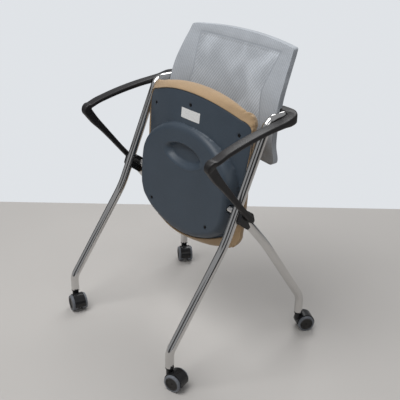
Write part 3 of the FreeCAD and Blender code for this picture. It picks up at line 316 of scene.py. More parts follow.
SCREWS = ((-185, 204), (185, 204), (0, 243), (-128.5, -80), (128.5, -80))
SCREW_SEAT, SEAT_EDGE, SEAT_DEPTH = 5.2, 2.2, 1.7
DOME_FACE = -21.5
RECESS_MIDDLE, RECESS_HALF_WIDTH, RECESS_HALF_HEIGHT, RECESS_DEPTH = 95, 87.5, 35, 16


def shell_face(flat):
    """Height of the shell's outer face, in millimetres, at points (across, before the pivot)."""
    across, before = flat[:, 0], flat[:, 1]
    rim = rim_height(across)
    shoulder = sizes().shoulder / MM
    depth = Outline(dome_edge(), (0, 20)).inside(flat)
    rise = np.clip(depth / shoulder, 0, 1)
    dome = np.sqrt(1 - (1 - rise) ** 2)
    height = rim + (DOME_FACE - rim) * dome
    edge = Outline(SHELL_RIM, (0, 60)).inside(flat)
    height += 2.2 * (1 - smooth(edge / 6)) ** 2
    ahead = (before - RECESS_MIDDLE) / RECESS_HALF_HEIGHT
    aside = across / RECESS_HALF_WIDTH
    oval = (np.abs(aside) ** 1.9 + np.abs(ahead) ** 1.8) ** (1 / 1.85)
    ends = 0.30 * aside ** 2 * (1 - smooth(-ahead / 0.5))
    slope = 0.14 + ends + 0.55 * np.clip(0.2 - ahead, 0, 1)
    scoop = smooth((1 - oval) / slope)
    height += RECESS_DEPTH * scoop
    height -= (0.6 + 0.9 * smooth(-ahead)) * np.exp(-((oval - 1.05) / 0.035) ** 2)
    for u, v in SCREWS:
        away = np.hypot(across - u, before - v)
        height += SEAT_DEPTH * (1 - smooth((away - SCREW_SEAT) / SEAT_EDGE))
    return height


class CHAIR_OT_shell(bpy.types.Operator):
    """Models the moulded seat shell with its dome, finger recess and screw seats."""

    bl_idname = "chair.shell"
    bl_label = "Seat shell"

    def execute(self, context):
        piece = grid("seat_shell_moulding", 190, 170)
        rim = Outline(SHELL_RIM, (0, 60))
        flat = rim.fill(points_of(piece)[:, :2])
        set_points(piece, place_on_seat(np.column_stack([flat, shell_face(flat)])))
        face_out(piece, Vector((0, -1, 0)))
        add_modifier(piece, "Wall", "SOLIDIFY", thickness=sizes().shell_wall, offset=-1, use_even_offset=True)
        deselect()
        bpy.ops.mesh.primitive_cylinder_add(vertices=48, radius=TUBE_RADIUS, depth=0.6, location=PIVOT,
                                            rotation=(0, math.pi / 2, 0))
        hole = bpy.context.object
        add_modifier(piece, "Tube hole", "BOOLEAN", operation="DIFFERENCE", object=hole, solver="EXACT")
        bpy.data.objects.remove(hole)
        settle(piece, 50)
        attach(piece, "seat")
        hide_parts("seat_shell")
        wear_material(piece, "shell_plastic")
        return {"FINISHED"}


def face_out(piece, way):
    """Turns an open sheet's faces so that they look a way."""
    pick(piece)
    total = Vector()
    for polygon in piece.data.polygons:
        total += polygon.normal * polygon.area
    if total.dot(way) < 0:
        bpy.ops.object.mode_set(mode="EDIT")
        bpy.ops.mesh.select_all(action="SELECT")
        bpy.ops.mesh.flip_normals()
        bpy.ops.object.mode_set(mode="OBJECT")


class CHAIR_OT_shell_screws(bpy.types.Operator):
    """Models the five cross-recessed screws of the seat shell, with a plain round recess in place of the cross."""

    bl_idname = "chair.shell_screws"
    bl_label = "Shell screws"

    def execute(self, context):
        made = []
        flat = np.array(SCREWS, float)
        floors = shell_face(flat)
        for (u, v), floor in zip(SCREWS, floors):
            made.append(screw(4.3 * MM, 2.0 * MM, 2.0 * MM, (BOARD_MIDDLE - floor) * MM))
            turn = Matrix(((1, 0, 0), (0, 0, 1), (0, -1, 0))).to_4x4()
            lean = Matrix.Rotation(-SEAT_LEAN, 4, "X")
            spot = Vector(place_on_seat([(u, v, floor)])[0])
            made[-1].matrix_world = Matrix.Translation(spot) @ lean @ turn.inverted()
        piece = joined(made, "seat_shell_screws")
        settle(piece, 40)
        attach(piece, "seat")
        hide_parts("shell_screws")
        wear_material(piece, "black_steel")
        return {"FINISHED"}


def screw(radius, head, socket, length):
    """A pan-headed screw with a round recess, its head above Z = 0 and its shank below."""
    deselect()
    bpy.ops.mesh.primitive_cylinder_add(vertices=32, radius=radius, depth=head, location=(0, 0, head / 2))
    piece = bpy.context.object
    bpy.ops.object.transform_apply(location=True)
    bpy.ops.object.mode_set(mode="EDIT")
    mesh = bmesh.from_edit_mesh(piece.data)
    bpy.ops.mesh.select_all(action="DESELECT")
    for face in mesh.faces:
        face.select = face.normal.z > 0.9
    bmesh.update_edit_mesh(piece.data)
    bpy.ops.mesh.inset(thickness=radius * 0.3)
    bpy.ops.transform.translate(value=(0, 0, head * 0.25))
    bpy.ops.mesh.inset(thickness=radius * 0.25)
    bpy.ops.mesh.inset(thickness=radius * 0.08)
    bpy.ops.transform.translate(value=(0, 0, -socket * 0.6))
    bpy.ops.mesh.select_all(action="DESELECT")
    mesh = bmesh.from_edit_mesh(piece.data)
    for face in mesh.faces:
        face.select = face.normal.z < -0.9
    bmesh.update_edit_mesh(piece.data)
    bpy.ops.mesh.inset(thickness=radius * 0.55)
    bpy.ops.mesh.extrude_region_move(TRANSFORM_OT_translate={"value": (0, 0, -length)})
    bpy.ops.object.mode_set(mode="OBJECT")
    return piece


def joined(pieces, name):
    """Several pieces as one object, under the first one's place."""
    deselect()
    for piece in pieces:
        pick(piece)
        bpy.ops.object.transform_apply(location=True, rotation=True, scale=True)
    deselect()
    for piece in pieces:
        piece.select_set(True)
    bpy.context.view_layer.objects.active = pieces[0]
    bpy.ops.object.join()
    pieces[0].name = name
    return pieces[0]


CUSHION_MIDDLE = np.array([0.0, 68.0])
BOARD_MIDDLE, BOARD_FACE = 33, 33.5


class CHAIR_OT_cushion(bpy.types.Operator):
    """Presses out the upholstered seat cushion, and gathers its cover at the corners."""

    bl_idname = "chair.cushion"
    bl_label = "Seat cushion"

    def execute(self, context):
        piece = stacked("seat_cushion_cover", [ring * MM for ring in cushion_rings()])
        add_modifier(piece, "Soft skin", "SUBSURF", levels=2, render_levels=2)
        press_out(piece)
        gather_corners(piece)
        set_points(piece, place_on_seat(points_of(piece) / MM))
        outward(piece)
        settle(piece, 60)
        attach(piece, "seat")
        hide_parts("seat_cushion")
        wear_material(piece, "upholstery")
        return {"FINISHED"}


def cushion_rings():
    """Rings of the cushion in millimetres, from over the board, round its skirt, to the crown."""
    middle = CUSHION_MIDDLE
    board = Outline([(201, -126), (201, 257), (-201, 257), (-201, -126)], middle)
    away = CUSHION_EDGE - middle
    angle = np.arctan2(away[:, 1], away[:, 0])
    order = np.argsort(angle)
    angle, away = angle[order], away[order]
    heading = np.stack([np.cos(angle), np.sin(angle)], axis=1)
    over_board = middle + heading * np.minimum(board.radius(angle), np.hypot(away[:, 0], away[:, 1]) - 20)[:, None]

    def ring(flat, height):
        return np.column_stack([flat, np.broadcast_to(height, len(flat))])

    def edge(share):
        return middle + away * share

    rings = [ring(middle + (over_board - middle) * share, BOARD_FACE) for share in (0.3, 0.6, 0.85, 0.97, 1)]
    shell = Outline(SHELL_RIM, middle).radius(angle)
    inner = np.minimum(np.hypot(*(over_board - middle).T), shell - 7)
    reach = np.hypot(away[:, 0], away[:, 1])
    for out, level in ((inner, 3.6), (shell - 0.6, 3.4), (shell + 1, -1.6), (shell + 2, -2.2), (shell + 7, 0.6)):
        lower = middle + heading * np.minimum(out, reach - 2)[:, None]
        rings.append(ring(lower, rim_height(lower[:, 0]) + level))
    for share, height in ((0.985, 9), (1.0, 27), (0.992, 40), (0.962, 50), (0.90, 56.5), (0.78, 60.5), (0.6, 62.5),
                          (0.35, 63.5), (0.15, 64)):
        flat = edge(share * 0.992)
        level = np.maximum(rim_height(flat[:, 0]) + 8, height) if height < 10 else height - 1.0
        rings.append(ring(flat, level))
    return rings


def press_out(piece):
    """Swells the cover by a cloth simulation with pressure inside, and keeps where it is held."""
    start = points_of(piece)
    cloth = piece.modifiers.new("Swell", "CLOTH")
    cloth.settings.quality = 4
    cloth.settings.use_pressure = True
    cloth.settings.uniform_pressure_force = 4
    cloth.settings.effector_weights.gravity = 0
    cloth.settings.tension_stiffness = 20
    cloth.settings.compression_stiffness = 20
    cloth.settings.bending_stiffness = 2
    cloth.point_cache.frame_start = 1
    cloth.point_cache.frame_end = 20
    for step in range(1, 21):
        bpy.context.scene.frame_set(step)
    apply_modifiers(piece)
    bpy.context.scene.frame_set(1)
    moved = points_of(piece) - start
    length = np.linalg.norm(moved, axis=1, keepdims=True)
    moved *= np.minimum(1, sizes().puff / np.maximum(length, 1e-9))
    above = start[:, 2] / MM - rim_height(start[:, 0] / MM)
    free = smooth((above - 6) / 16) * smooth((start[:, 2] / MM - 34) / 6 + (np.abs(start[:, 0] / MM) > 203)
                                             + (start[:, 1] / MM > 259) + (start[:, 1] / MM < -128))
    set_points(piece, start + moved * free[:, None])


def gather_corners(piece):
    """Folds the cover where it is drawn round its corners, and rolls its lower edge in a little."""
    points = points_of(piece)
    flat = points[:, :2] / MM
    away = flat - CUSHION_MIDDLE
    reach = np.hypot(away[:, 0], away[:, 1])
    edge = Outline(CUSHION_EDGE, CUSHION_MIDDLE).inside(flat)
    angle = np.degrees(np.arctan2(away[:, 1], np.abs(away[:, 0])))
    outer = smooth((14 - edge) / 12)
    low = smooth((46 - points[:, 2] / MM) / 34)
    fold = np.zeros(len(points))
    for corner, spread, folds in ((42.0, 15.0, 0.86), (-41.0, 14.0, 0.9)):
        close = np.exp(-((angle - corner) / spread) ** 2)
        fold += close * (0.5 - 0.5 * np.cos(angle * 2 * math.pi * folds * 0.36)) ** 1.5
    ripple = 0.12 * np.sin(angle * 0.55) * np.sin(angle * 0.21 + 1.3)
    depth = sizes().gather / MM * (fold - 0.15 + ripple) * outer * low
    flat = flat - away / np.maximum(reach, 1)[:, None] * depth[:, None]
    points[:, :2] = flat * MM
    set_points(piece, points)


BACK_SIDE = ((544, 381, 20), (557, 378.3, 21), (569, 375.4, 23), (600, 365.4, 26), (640, 361.5, 27),
             (690, 367, 26), (740, 380, 24), (800, 407, 21), (850, 435, 18), (895, 464, 16))
BACK_WIDTH = ((544, 223.4), (566, 224.4), (600, 227), (690, 232.5), (770, 227), (864, 212))
WINDOW = ((-178, 575), (178, 575), (146, 742), (166, 845), (-166, 845), (-146, 742))


def cubic(rows, column):
    """A smooth curve through the rows' values against their first column."""
    at = np.array([row[0] for row in rows], float)
    value = np.array([row[column] for row in rows], float)
    slope = np.gradient(value, at)

    def curve(where):
        index = np.clip(np.searchsorted(at, where) - 1, 0, len(at) - 2)
        step = at[index + 1] - at[index]
        t = np.clip((where - at[index]) / step, 0, 1)
        return (value[index] * (1 + 2 * t) * (1 - t) ** 2 + slope[index] * step * t * (1 - t) ** 2
                + value[index + 1] * t * t * (3 - 2 * t) + slope[index + 1] * step * t * t * (t - 1))

    return curve


def back_outline():
    """The backrest's front outline: (across, height) in millimetres."""
    width = cubic(BACK_WIDTH, 1)
    right = [(float(width(z)), z) for z in np.linspace(566, 855, 60)]
    top_x = float(width(855))
    crown = arc((top_x - 6, 864), (0, 875), (-top_x + 6, 864), 60)
    low = [(224 - 22 * (1 - math.cos(t)), 566 - 22 * math.sin(t)) for t in np.linspace(0, math.pi / 2, 10)]
    upper = [(top_x - 6 + 6 * math.cos(t), 855 + 9 * math.sin(t)) for t in np.linspace(0.2, math.pi / 2, 8)]
    half = low[::-1] + right + upper
    left = [(-x, z) for x, z in half[::-1]]
    bottom = [(x, 544) for x in np.linspace(-200, 200, 41)]
    return np.array(half + crown + left + bottom)


def chair_y(y):
    """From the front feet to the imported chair's own Y, in metres."""
    return PIVOT.y + (y - PIVOT_BACK) * MM


def polygon_distance(points, corners):
    """How far inside a polygon each point lies; outside it is negative."""
    corners = np.asarray(corners, float)
    best = np.full(len(points), 1e9)
    inside = np.zeros(len(points), bool)
    for start, end in zip(corners, np.roll(corners, -1, axis=0)):
        along = end - start
        share = np.clip(((points - start) @ along) / (along @ along), 0, 1)
        best = np.minimum(best, np.linalg.norm(points - (start + share[:, None] * along), axis=1))
        crosses = (start[1] > points[:, 1]) != (end[1] > points[:, 1])
        with np.errstate(divide="ignore", invalid="ignore"):
            at = start[0] + (points[:, 1] - start[1]) / (end[1] - start[1]) * along[0]
        inside ^= crosses & (points[:, 0] < at)
    return np.where(inside, best, -best)


class CHAIR_OT_back_knit(bpy.types.Operator):
    """Draws the knitted sleeve over the backrest's frame."""

    bl_idname = "chair.back_knit"
    bl_label = "Knitted back"

    def execute(self, context):
        piece = grid("backrest_knit", 170, 130)
        flat = Outline(back_outline(), (0, 700)).fill(points_of(piece)[:, :2])
        across, up = flat[:, 0], flat[:, 1]
        front = cubic(BACK_SIDE, 1)(up) + cubic(BACK_SIDE, 2)(up) * (1 - (across / 253) ** 2) - 0.8
        front -= 2.6 * smooth((up - 838) / 28)
        window = polygon_distance(flat, WINDOW)
        front += 1.6 * smooth((window + 1) / 9)
        front += 0.5 * np.exp(-((window + 4) / 2.2) ** 2)
        set_points(piece, np.column_stack([PIVOT.x + across * MM, chair_y(front), up * MM]))
        face_out(piece, Vector((0, -1, 0)))
        front_points = points_of(piece)
        add_modifier(piece, "Sleeve", "SOLIDIFY", thickness=sizes().back_thickness, offset=-1)
        set_points(piece, np.vstack([front_points, front_points + (0, sizes().back_thickness, 0)]))
        add_modifier(piece, "Soft edge", "BEVEL", width=0.0036, segments=4, limit_method="ANGLE",
                     angle_limit=math.radians(50))
        mark_window(piece)
        settle(piece, 60)
        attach(piece, "frame")
        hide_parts("backrest_sleeve")
        wear_material(piece, "knit")
        return {"FINISHED"}


# The armrest in millimetres from the front feet. Up the strut: distance from the corner along it, half
# breadth to the front, half breadth to the rear, middle across, half width.
ARM_CORNER = (104.4, 615.3)
ARM_PIVOT = (PIVOT_BACK, 446.0)
STRUT = ((232, 3.5, 3.5, 281.5, 5), (230, 6.5, 6.5, 281.5, 7), (224, 8.5, 8.5, 281.5, 8), (206, 8.4, 7.8, 281.5, 8),
         (160, 8.2, 7.8, 281.5, 7.6), (110, 7.8, 9.6, 281.5, 7.4), (62, 8.6, 11.6, 282, 7.8),
         (26, 11, 13.2, 283, 8.8))
# Round the front corner: the turn from rearward in degrees, thickness, middle across, half width.
CORNER_AT = (115.0, 636.0)
CORNER = ((220, 26.5, 284, 9.6), (200, 27.5, 284.6, 10.4), (180, 26, 285.2, 11.4), (160, 22.5, 286, 12.6),
          (140, 18.4, 286.6, 13.8), (123, 14.2, 287, 14.8), (109, 12.4, 287.2, 15.4))
# Along the pad: distance behind the front feet, top, thickness, inner side, outer side.
PAD = ((132, 659.4, 12.2, 272, 303), (150, 665, 12.2, 270.5, 302), (200, 677, 12.4, 268, 300.5),
       (250, 686.5, 13, 266, 298.5), (300, 693.8, 14, 264, 296), (350, 699.6, 17, 261.5, 292.5),
       (370, 702.5, 21, 260, 290.5))
# Behind the pad: middle across and to the rear, half reach across and to the rear, half height, level.
TURN = ((273, 388, 14, 5.0, 12.6, 696.5), (266.5, 394.5, 11.5, 10.5, 13.8, 698.5), (256, 399, 6, 15.4, 14.5, 700),
        (240, 400.8, 0, 16.7, 14.5, 700), (216, 400.8, 0, 16.7, 14.5, 700), (214.4, 400.8, 0, 15.6, 13.4, 700))


def rounded_ring(centre, across, up, radius, steps=5):
    """A rounded rectangle in space, from its middle and two half sides."""
    wide, high = np.linalg.norm(across), np.linalg.norm(up)
    radius = min(radius, 0.96 * wide, 0.96 * high)
    points = []
    for corner, (a, b) in enumerate(((1, 1), (-1, 1), (-1, -1), (1, -1))):
        for step in range(steps):
            turn = math.pi / 2 * (corner + step / (steps - 1))
            x = a * (wide - radius) + radius * math.cos(turn)
            y = b * (high - radius) + radius * math.sin(turn)
            points.append(centre + across / wide * x + up / high * y)
    return np.array(points)


def arm_frames():
    """The middle and the two half sides of every section of the left armrest."""
    corner, pivot = np.array(ARM_CORNER), np.array(ARM_PIVOT)
    down = (pivot - corner) / np.linalg.norm(pivot - corner)
    rear = np.array([-down[1], down[0]])
    frames = []
    for distance, front_half, rear_half, middle, half in STRUT:
        spine = corner + down * distance + rear * (rear_half - front_half) / 2
        side = -rear * (front_half + rear_half) / 2
        frames.append(((middle, *spine), (half, 0, 0), (0, *side)))
    for degrees, thick, middle, half in CORNER:
        way = np.array([math.cos(math.radians(degrees)), math.sin(math.radians(degrees))])
        spine = np.array(CORNER_AT) + way * (4 + thick / 2)
        frames.append(((middle, *spine), (half, 0, 0), (0, *(way * thick / 2))))
    for back, top, thick, inner, outer in PAD:
        frames.append((((inner + outer) / 2, back, top - thick / 2), ((outer - inner) / 2, 0, 0),
                       (0, -0.10 * thick, thick / 2)))
    for middle, back, reach_x, reach_y, high, level in TURN:
        frames.append(((middle, back, level), (reach_x, reach_y, 0), (0, 0, high)))
    return np.array(frames, float)


def between(frames, parts):
    """More sections, on smooth curves through the given ones."""
    made = []
    for index in range(len(frames) - 1):
        before, first = frames[max(index - 1, 0)], frames[index]
        second, after = frames[index + 1], frames[min(index + 2, len(frames) - 1)]
        bend = 2 * before - 5 * first + 4 * second - after
        turn = 3 * first - before - 3 * second + after
        for t in np.arange(parts) / parts:
            made.append(0.5 * (2 * first + (second - before) * t + bend * t ** 2 + turn * t ** 3))
    return made + [frames[-1]]


class CHAIR_OT_armrests(bpy.types.Operator):
    """Models both armrests: strut, rounded corner, pad and the turn behind the backrest."""

    bl_idname = "chair.armrests"
    bl_label = "Armrests"

    def execute(self, context):
        for name, side in (("left", 1), ("right", -1)):
            rings = []
            for centre, across, up in between(arm_frames(), 3):
                ring = rounded_ring(centre, across, up, 4.6)
                ring *= (side * MM, 1, MM)
                rings.append(np.column_stack([PIVOT.x + ring[:, 0], chair_y(ring[:, 1]), ring[:, 2]]))
            piece = stacked(f"armrest_{name}_moulding", rings)
            settle(piece, 30)
            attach(piece, "frame")
            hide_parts(f"armrest_{name}")
            wear_material(piece, "arm_plastic")
        return {"FINISHED"}


def mark_window(piece):
    """Keeps on each point how far it lies inside the window's outline, for the knit's pattern."""
    points = points_of(piece)
    flat = np.column_stack([(points[:, 0] - PIVOT.x) / MM, points[:, 2] / MM])
    marks = piece.data.attributes.new("window", "FLOAT", "POINT")
    marks.data.foreach_set("value", polygon_distance(flat, WINDOW).astype(np.float32))


def new_group(name, inputs, outputs):
    """A shader node group with named sockets."""
    group = bpy.data.node_groups.new(name, "ShaderNodeTree")
    for label, kind, default in inputs:
        socket = group.interface.new_socket(label, in_out="INPUT", socket_type=kind)
        if default is not None:
            socket.default_value = default
    for label, kind in outputs:
        group.interface.new_socket(label, in_out="OUTPUT", socket_type=kind)
    return group, group.nodes.new("NodeGroupInput"), group.nodes.new("NodeGroupOutput")


def add(tree, kind, inputs=None, **values):
    """A node with its settings, its constants, and its links from other sockets."""
    made = tree.nodes.new(kind)
    for key, value in values.items():
        setattr(made, key, value)
    for key, value in (inputs or {}).items():
        if isinstance(value, bpy.types.NodeSocket):
            tree.links.new(value, made.inputs[key])
        else:
            made.inputs[key].default_value = value
    return made


def math_node(tree, operation, first, second=0.0, clamp=False):
    """A value from two values or sockets."""
    return add(tree, "ShaderNodeMath", {0: first, 1: second}, operation=operation, use_clamp=clamp).outputs[0]


def times(tree, first, second):
    """The product of two values or sockets."""
    return math_node(tree, "MULTIPLY", first, second)


def plus(tree, first, second, clamp=False):
    """The sum of two values or sockets."""
    return math_node(tree, "ADD", first, second, clamp)


def minus(tree, first, second):
    """The difference of two values or sockets."""
    return math_node(tree, "SUBTRACT", first, second)


def noise(tree, vector, scale, detail, distortion=0.0):
    """The value of a noise texture."""
    return add(tree, "ShaderNodeTexNoise", {"Vector": vector, "Scale": scale, "Detail": detail,
                                            "Distortion": distortion}).outputs["Fac"]


def spread(tree, value, low, high, first=0.0, last=1.0):
    """A value carried from one range into another, and held within it."""
    return add(tree, "ShaderNodeMapRange", {"Value": value, "From Min": low, "From Max": high, "To Min": first,
                                            "To Max": last}).outputs[0]


def grey(tree, value):
    """One value on all three channels."""
    return add(tree, "ShaderNodeCombineXYZ", {0: value, 1: value, 2: value}).outputs[0]


def blend_colour(tree, share, first, second, kind="MIX"):
    """A colour mixed from two colours or sockets."""
    made = add(tree, "ShaderNodeMix", data_type="RGBA", blend_type=kind)
    for socket, value in ((made.inputs[0], share), (made.inputs[6], first), (made.inputs[7], second)):
        if isinstance(value, bpy.types.NodeSocket):
            tree.links.new(value, socket)
        else:
            socket.default_value = value
    return made.outputs[2]


def moulded_group():
    """Textured plastic: uneven tone, a fine grain, and light scuffs."""
    group, given, out = new_group(
        "moulded_surface",
        (("Vector", "NodeSocketVector", None), ("Colour", "NodeSocketColor", None),
         ("Unevenness", "NodeSocketFloat", 0.12), ("Grain per metre", "NodeSocketFloat", 900.0),
         ("Scuffs", "NodeSocketFloat", 0.1), ("Sheen", "NodeSocketFloat", 0.45)),
        (("Colour", "NodeSocketColor"), ("Roughness", "NodeSocketFloat"), ("Height", "NodeSocketFloat")))
    vector = given.outputs["Vector"]
    broad = noise(group, vector, 9.0, 3.0)
    grain = noise(group, vector, given.outputs["Grain per metre"], 2.0)
    scratch = noise(group, vector, 60.0, 8.0, 1.5)
    scuff = times(group, spread(group, scratch, 0.6, 0.72), given.outputs["Scuffs"])
    tone = times(group, minus(group, broad, 0.5), given.outputs["Unevenness"])
    speck = times(group, minus(group, grain, 0.5), 0.5)
    level = plus(group, plus(group, 1.0, times(group, tone, 4.0)), speck)
    colour = blend_colour(group, 1.0, given.outputs["Colour"], grey(group, level), "MULTIPLY")
    group.links.new(blend_colour(group, scuff, colour, (0.2, 0.2, 0.21, 1)), out.inputs["Colour"])
    rough = plus(group, given.outputs["Sheen"], times(group, tone, 1.5))
    group.links.new(plus(group, rough, times(group, scuff, 0.5), clamp=True), out.inputs["Roughness"])
    group.links.new(grain, out.inputs["Height"])
    return group


def metal_group():
    """Plated or bare metal: a little smudged, with fine lines."""
    group, given, out = new_group(
        "metal_surface",
        (("Vector", "NodeSocketVector", None), ("Colour", "NodeSocketColor", None),
         ("Polish", "NodeSocketFloat", 0.06), ("Smudges", "NodeSocketFloat", 0.06)),
        (("Colour", "NodeSocketColor"), ("Roughness", "NodeSocketFloat"), ("Height", "NodeSocketFloat")))
    vector = given.outputs["Vector"]
    smudge = noise(group, vector, 24.0, 5.0, 0.8)
    rough = plus(group, given.outputs["Polish"], times(group, smudge, given.outputs["Smudges"]), clamp=True)
    group.links.new(rough, out.inputs["Roughness"])
    colour = blend_colour(group, times(group, smudge, 0.12), given.outputs["Colour"], (0.28, 0.27, 0.26, 1))
    group.links.new(colour, out.inputs["Colour"])
    group.links.new(noise(group, vector, 700.0, 2.0), out.inputs["Height"])
    return group


def ribbed_group():
    """Fine ribs across a cloth, with small stitches along them."""
    group, given, out = new_group(
        "ribbed_cloth",
        (("Vector", "NodeSocketVector", None), ("Colour", "NodeSocketColor", None),
         ("Ribs per metre", "NodeSocketFloat", 240.0), ("Depth", "NodeSocketFloat", 0.3)),
        (("Colour", "NodeSocketColor"), ("Height", "NodeSocketFloat")))
    vector = given.outputs["Vector"]
    split = add(group, "ShaderNodeSeparateXYZ", {0: vector})
    around = times(group, given.outputs["Ribs per metre"], 2 * math.pi)
    rib = math_node(group, "SINE", times(group, split.outputs[0], around))
    stitch = math_node(group, "SINE", times(group, split.outputs[2], times(group, around, 0.8)))
    height = plus(group, times(group, rib, 0.5), times(group, stitch, 0.08))
    fuzz, broad = noise(group, vector, 420.0, 2.0), noise(group, vector, 14.0, 3.0)
    level = plus(group, 0.86, times(group, height, given.outputs["Depth"]))
    for uneven in (fuzz, broad):
        level = plus(group, level, times(group, minus(group, uneven, 0.5), 0.3))
    group.links.new(blend_colour(group, 1.0, given.outputs["Colour"], grey(group, level), "MULTIPLY"),
                    out.inputs["Colour"])
    group.links.new(plus(group, height, fuzz), out.inputs["Height"])
    return group


GROUPS = {"moulded": moulded_group, "metal": metal_group, "ribbed": ribbed_group}


def group_node(tree, name, inputs):
    """One of the shared effects, placed in a material."""
    made = tree.nodes.new("ShaderNodeGroup")
    known = {"moulded": "moulded_surface", "metal": "metal_surface", "ribbed": "ribbed_cloth"}[name]
    made.node_tree = bpy.data.node_groups.get(known) or GROUPS[name]()
    for key, value in inputs.items():
        if isinstance(value, bpy.types.NodeSocket):
            tree.links.new(value, made.inputs[key])
        else:
            made.inputs[key].default_value = value
    return made


def blank_material(name):
    """An empty material with its shader and object coordinates."""
    material = bpy.data.materials.new(f"finish_{name}")
    material.use_nodes = True
    tree = material.node_tree
    tree.nodes.clear()
    shader = tree.nodes.new("ShaderNodeBsdfPrincipled")
    output = tree.nodes.new("ShaderNodeOutputMaterial")
    tree.links.new(shader.outputs[0], output.inputs[0])
    place = tree.nodes.new("ShaderNodeTexCoord")
    mapping = add(tree, "ShaderNodeMapping", {"Vector": place.outputs["Object"]})
    return material, tree, shader, mapping


def bumped(tree, shader, height, distance, strength=1.0):
    """Feeds a height into the shader's normal."""
    bump = add(tree, "ShaderNodeBump", {"Height": height, "Strength": strength, "Distance": distance})
    tree.links.new(bump.outputs[0], shader.inputs["Normal"])


def moulded_material(name, colour, unevenness=0.12, grain=900.0, scuffs=0.06, sheen=0.45, depth=0.00012):
    material, tree, shader, mapping = blank_material(name)
    effect = group_node(tree, "moulded", {"Vector": mapping.outputs[0], "Colour": (*colour, 1),
                                          "Unevenness": unevenness, "Grain per metre": grain, "Scuffs": scuffs,
                                          "Sheen": sheen})
    tree.links.new(effect.outputs["Colour"], shader.inputs["Base Color"])
    tree.links.new(effect.outputs["Roughness"], shader.inputs["Roughness"])
    shader.inputs["Specular IOR Level"].default_value = 0.38
    bumped(tree, shader, effect.outputs["Height"], depth, 0.6)
    return material


def metal_material(name, colour, polish, smudges):
    material, tree, shader, mapping = blank_material(name)
    effect = group_node(tree, "metal", {"Vector": mapping.outputs[0], "Colour": (*colour, 1), "Polish": polish,
                                        "Smudges": smudges})
    tree.links.new(effect.outputs["Colour"], shader.inputs["Base Color"])
    tree.links.new(effect.outputs["Roughness"], shader.inputs["Roughness"])
    shader.inputs["Metallic"].default_value = 1.0
    bumped(tree, shader, effect.outputs["Height"], 0.00002, 0.3)
    return material


def upholstery_material():
    """A close woven cover with a soft bloom."""
    material, tree, shader, mapping = blank_material("upholstery")
    effect = group_node(tree, "ribbed", {"Vector": mapping.outputs[0], "Colour": (*colours().upholstery, 1),
                                         "Ribs per metre": 420.0, "Depth": 0.10})
    tree.links.new(effect.outputs["Colour"], shader.inputs["Base Color"])
    shader.inputs["Roughness"].default_value = 0.78
    shader.inputs["Sheen Weight"].default_value = 0.25
    shader.inputs["Sheen Roughness"].default_value = 0.5
    bumped(tree, shader, effect.outputs["Height"], 0.0003, 0.5)
    return material


def knit_material():
    """Upright ribs on the border, slanted ribs with soft blotches in the window, and a stitched line."""
    material, tree, shader, mapping = blank_material("knit")
    ribs = 1 / sizes().rib_pitch
    colour = (*colours().knit, 1)
    border = group_node(tree, "ribbed", {"Vector": mapping.outputs[0], "Colour": colour, "Ribs per metre": ribs,
                                         "Depth": 0.16})
    slant = add(tree, "ShaderNodeMapping", {"Vector": mapping.outputs[0], "Rotation": (0, math.radians(-32), 0)})
    sheer = group_node(tree, "ribbed", {"Vector": slant.outputs[0],
                                        "Colour": tuple(value * 1.06 for value in colour[:3]) + (1,),
                                        "Ribs per metre": ribs * 0.86, "Depth": 0.28})
    blotch = spread(tree, noise(tree, slant.outputs[0], 8.0, 1.0, 1.2), 0.4, 0.62, 0.92, 1.16)
    window_colour = blend_colour(tree, 1.0, sheer.outputs["Colour"], grey(tree, blotch), "MULTIPLY")
    marks = add(tree, "ShaderNodeAttribute", attribute_name="window", attribute_type="GEOMETRY").outputs["Fac"]
    both = blend_colour(tree, spread(tree, marks, -1.0, 2.0), border.outputs["Colour"], window_colour)
    line = spread(tree, math_node(tree, "ABSOLUTE", minus(tree, marks, -2.0)), 1.4, 3.2, 1.0, 0.0)
    tree.links.new(blend_colour(tree, times(tree, line, 0.32), both, (0.16, 0.18, 0.21, 1)),
                   shader.inputs["Base Color"])
    shader.inputs["Roughness"].default_value = 0.8
    shader.inputs["Sheen Weight"].default_value = 0.15
    bumped(tree, shader, minus(tree, border.outputs["Height"], line), 0.0004, 0.5)
    return material


def plywood_material():
    """Pale veneer whose layers show on the edges."""
    material, tree, shader, mapping = blank_material("plywood")
    layers = add(tree, "ShaderNodeTexWave", {"Vector": mapping.outputs[0], "Scale": 95.0, "Distortion": 1.2,
                                             "Detail": 2.0}, bands_direction="Y")
    effect = group_node(tree, "moulded", {"Vector": mapping.outputs[0], "Colour": (0.52, 0.36, 0.2, 1),
                                          "Unevenness": 0.2, "Grain per metre": 300.0, "Scuffs": 0.0,
                                          "Sheen": 0.6})
    colour = blend_colour(tree, times(tree, layers.outputs["Fac"], 0.4),
                          effect.outputs["Colour"], (0.3, 0.18, 0.09, 1))
    tree.links.new(colour, shader.inputs["Base Color"])
    tree.links.new(effect.outputs["Roughness"], shader.inputs["Roughness"])
    bumped(tree, shader, effect.outputs["Height"], 0.0001, 0.5)
    return material


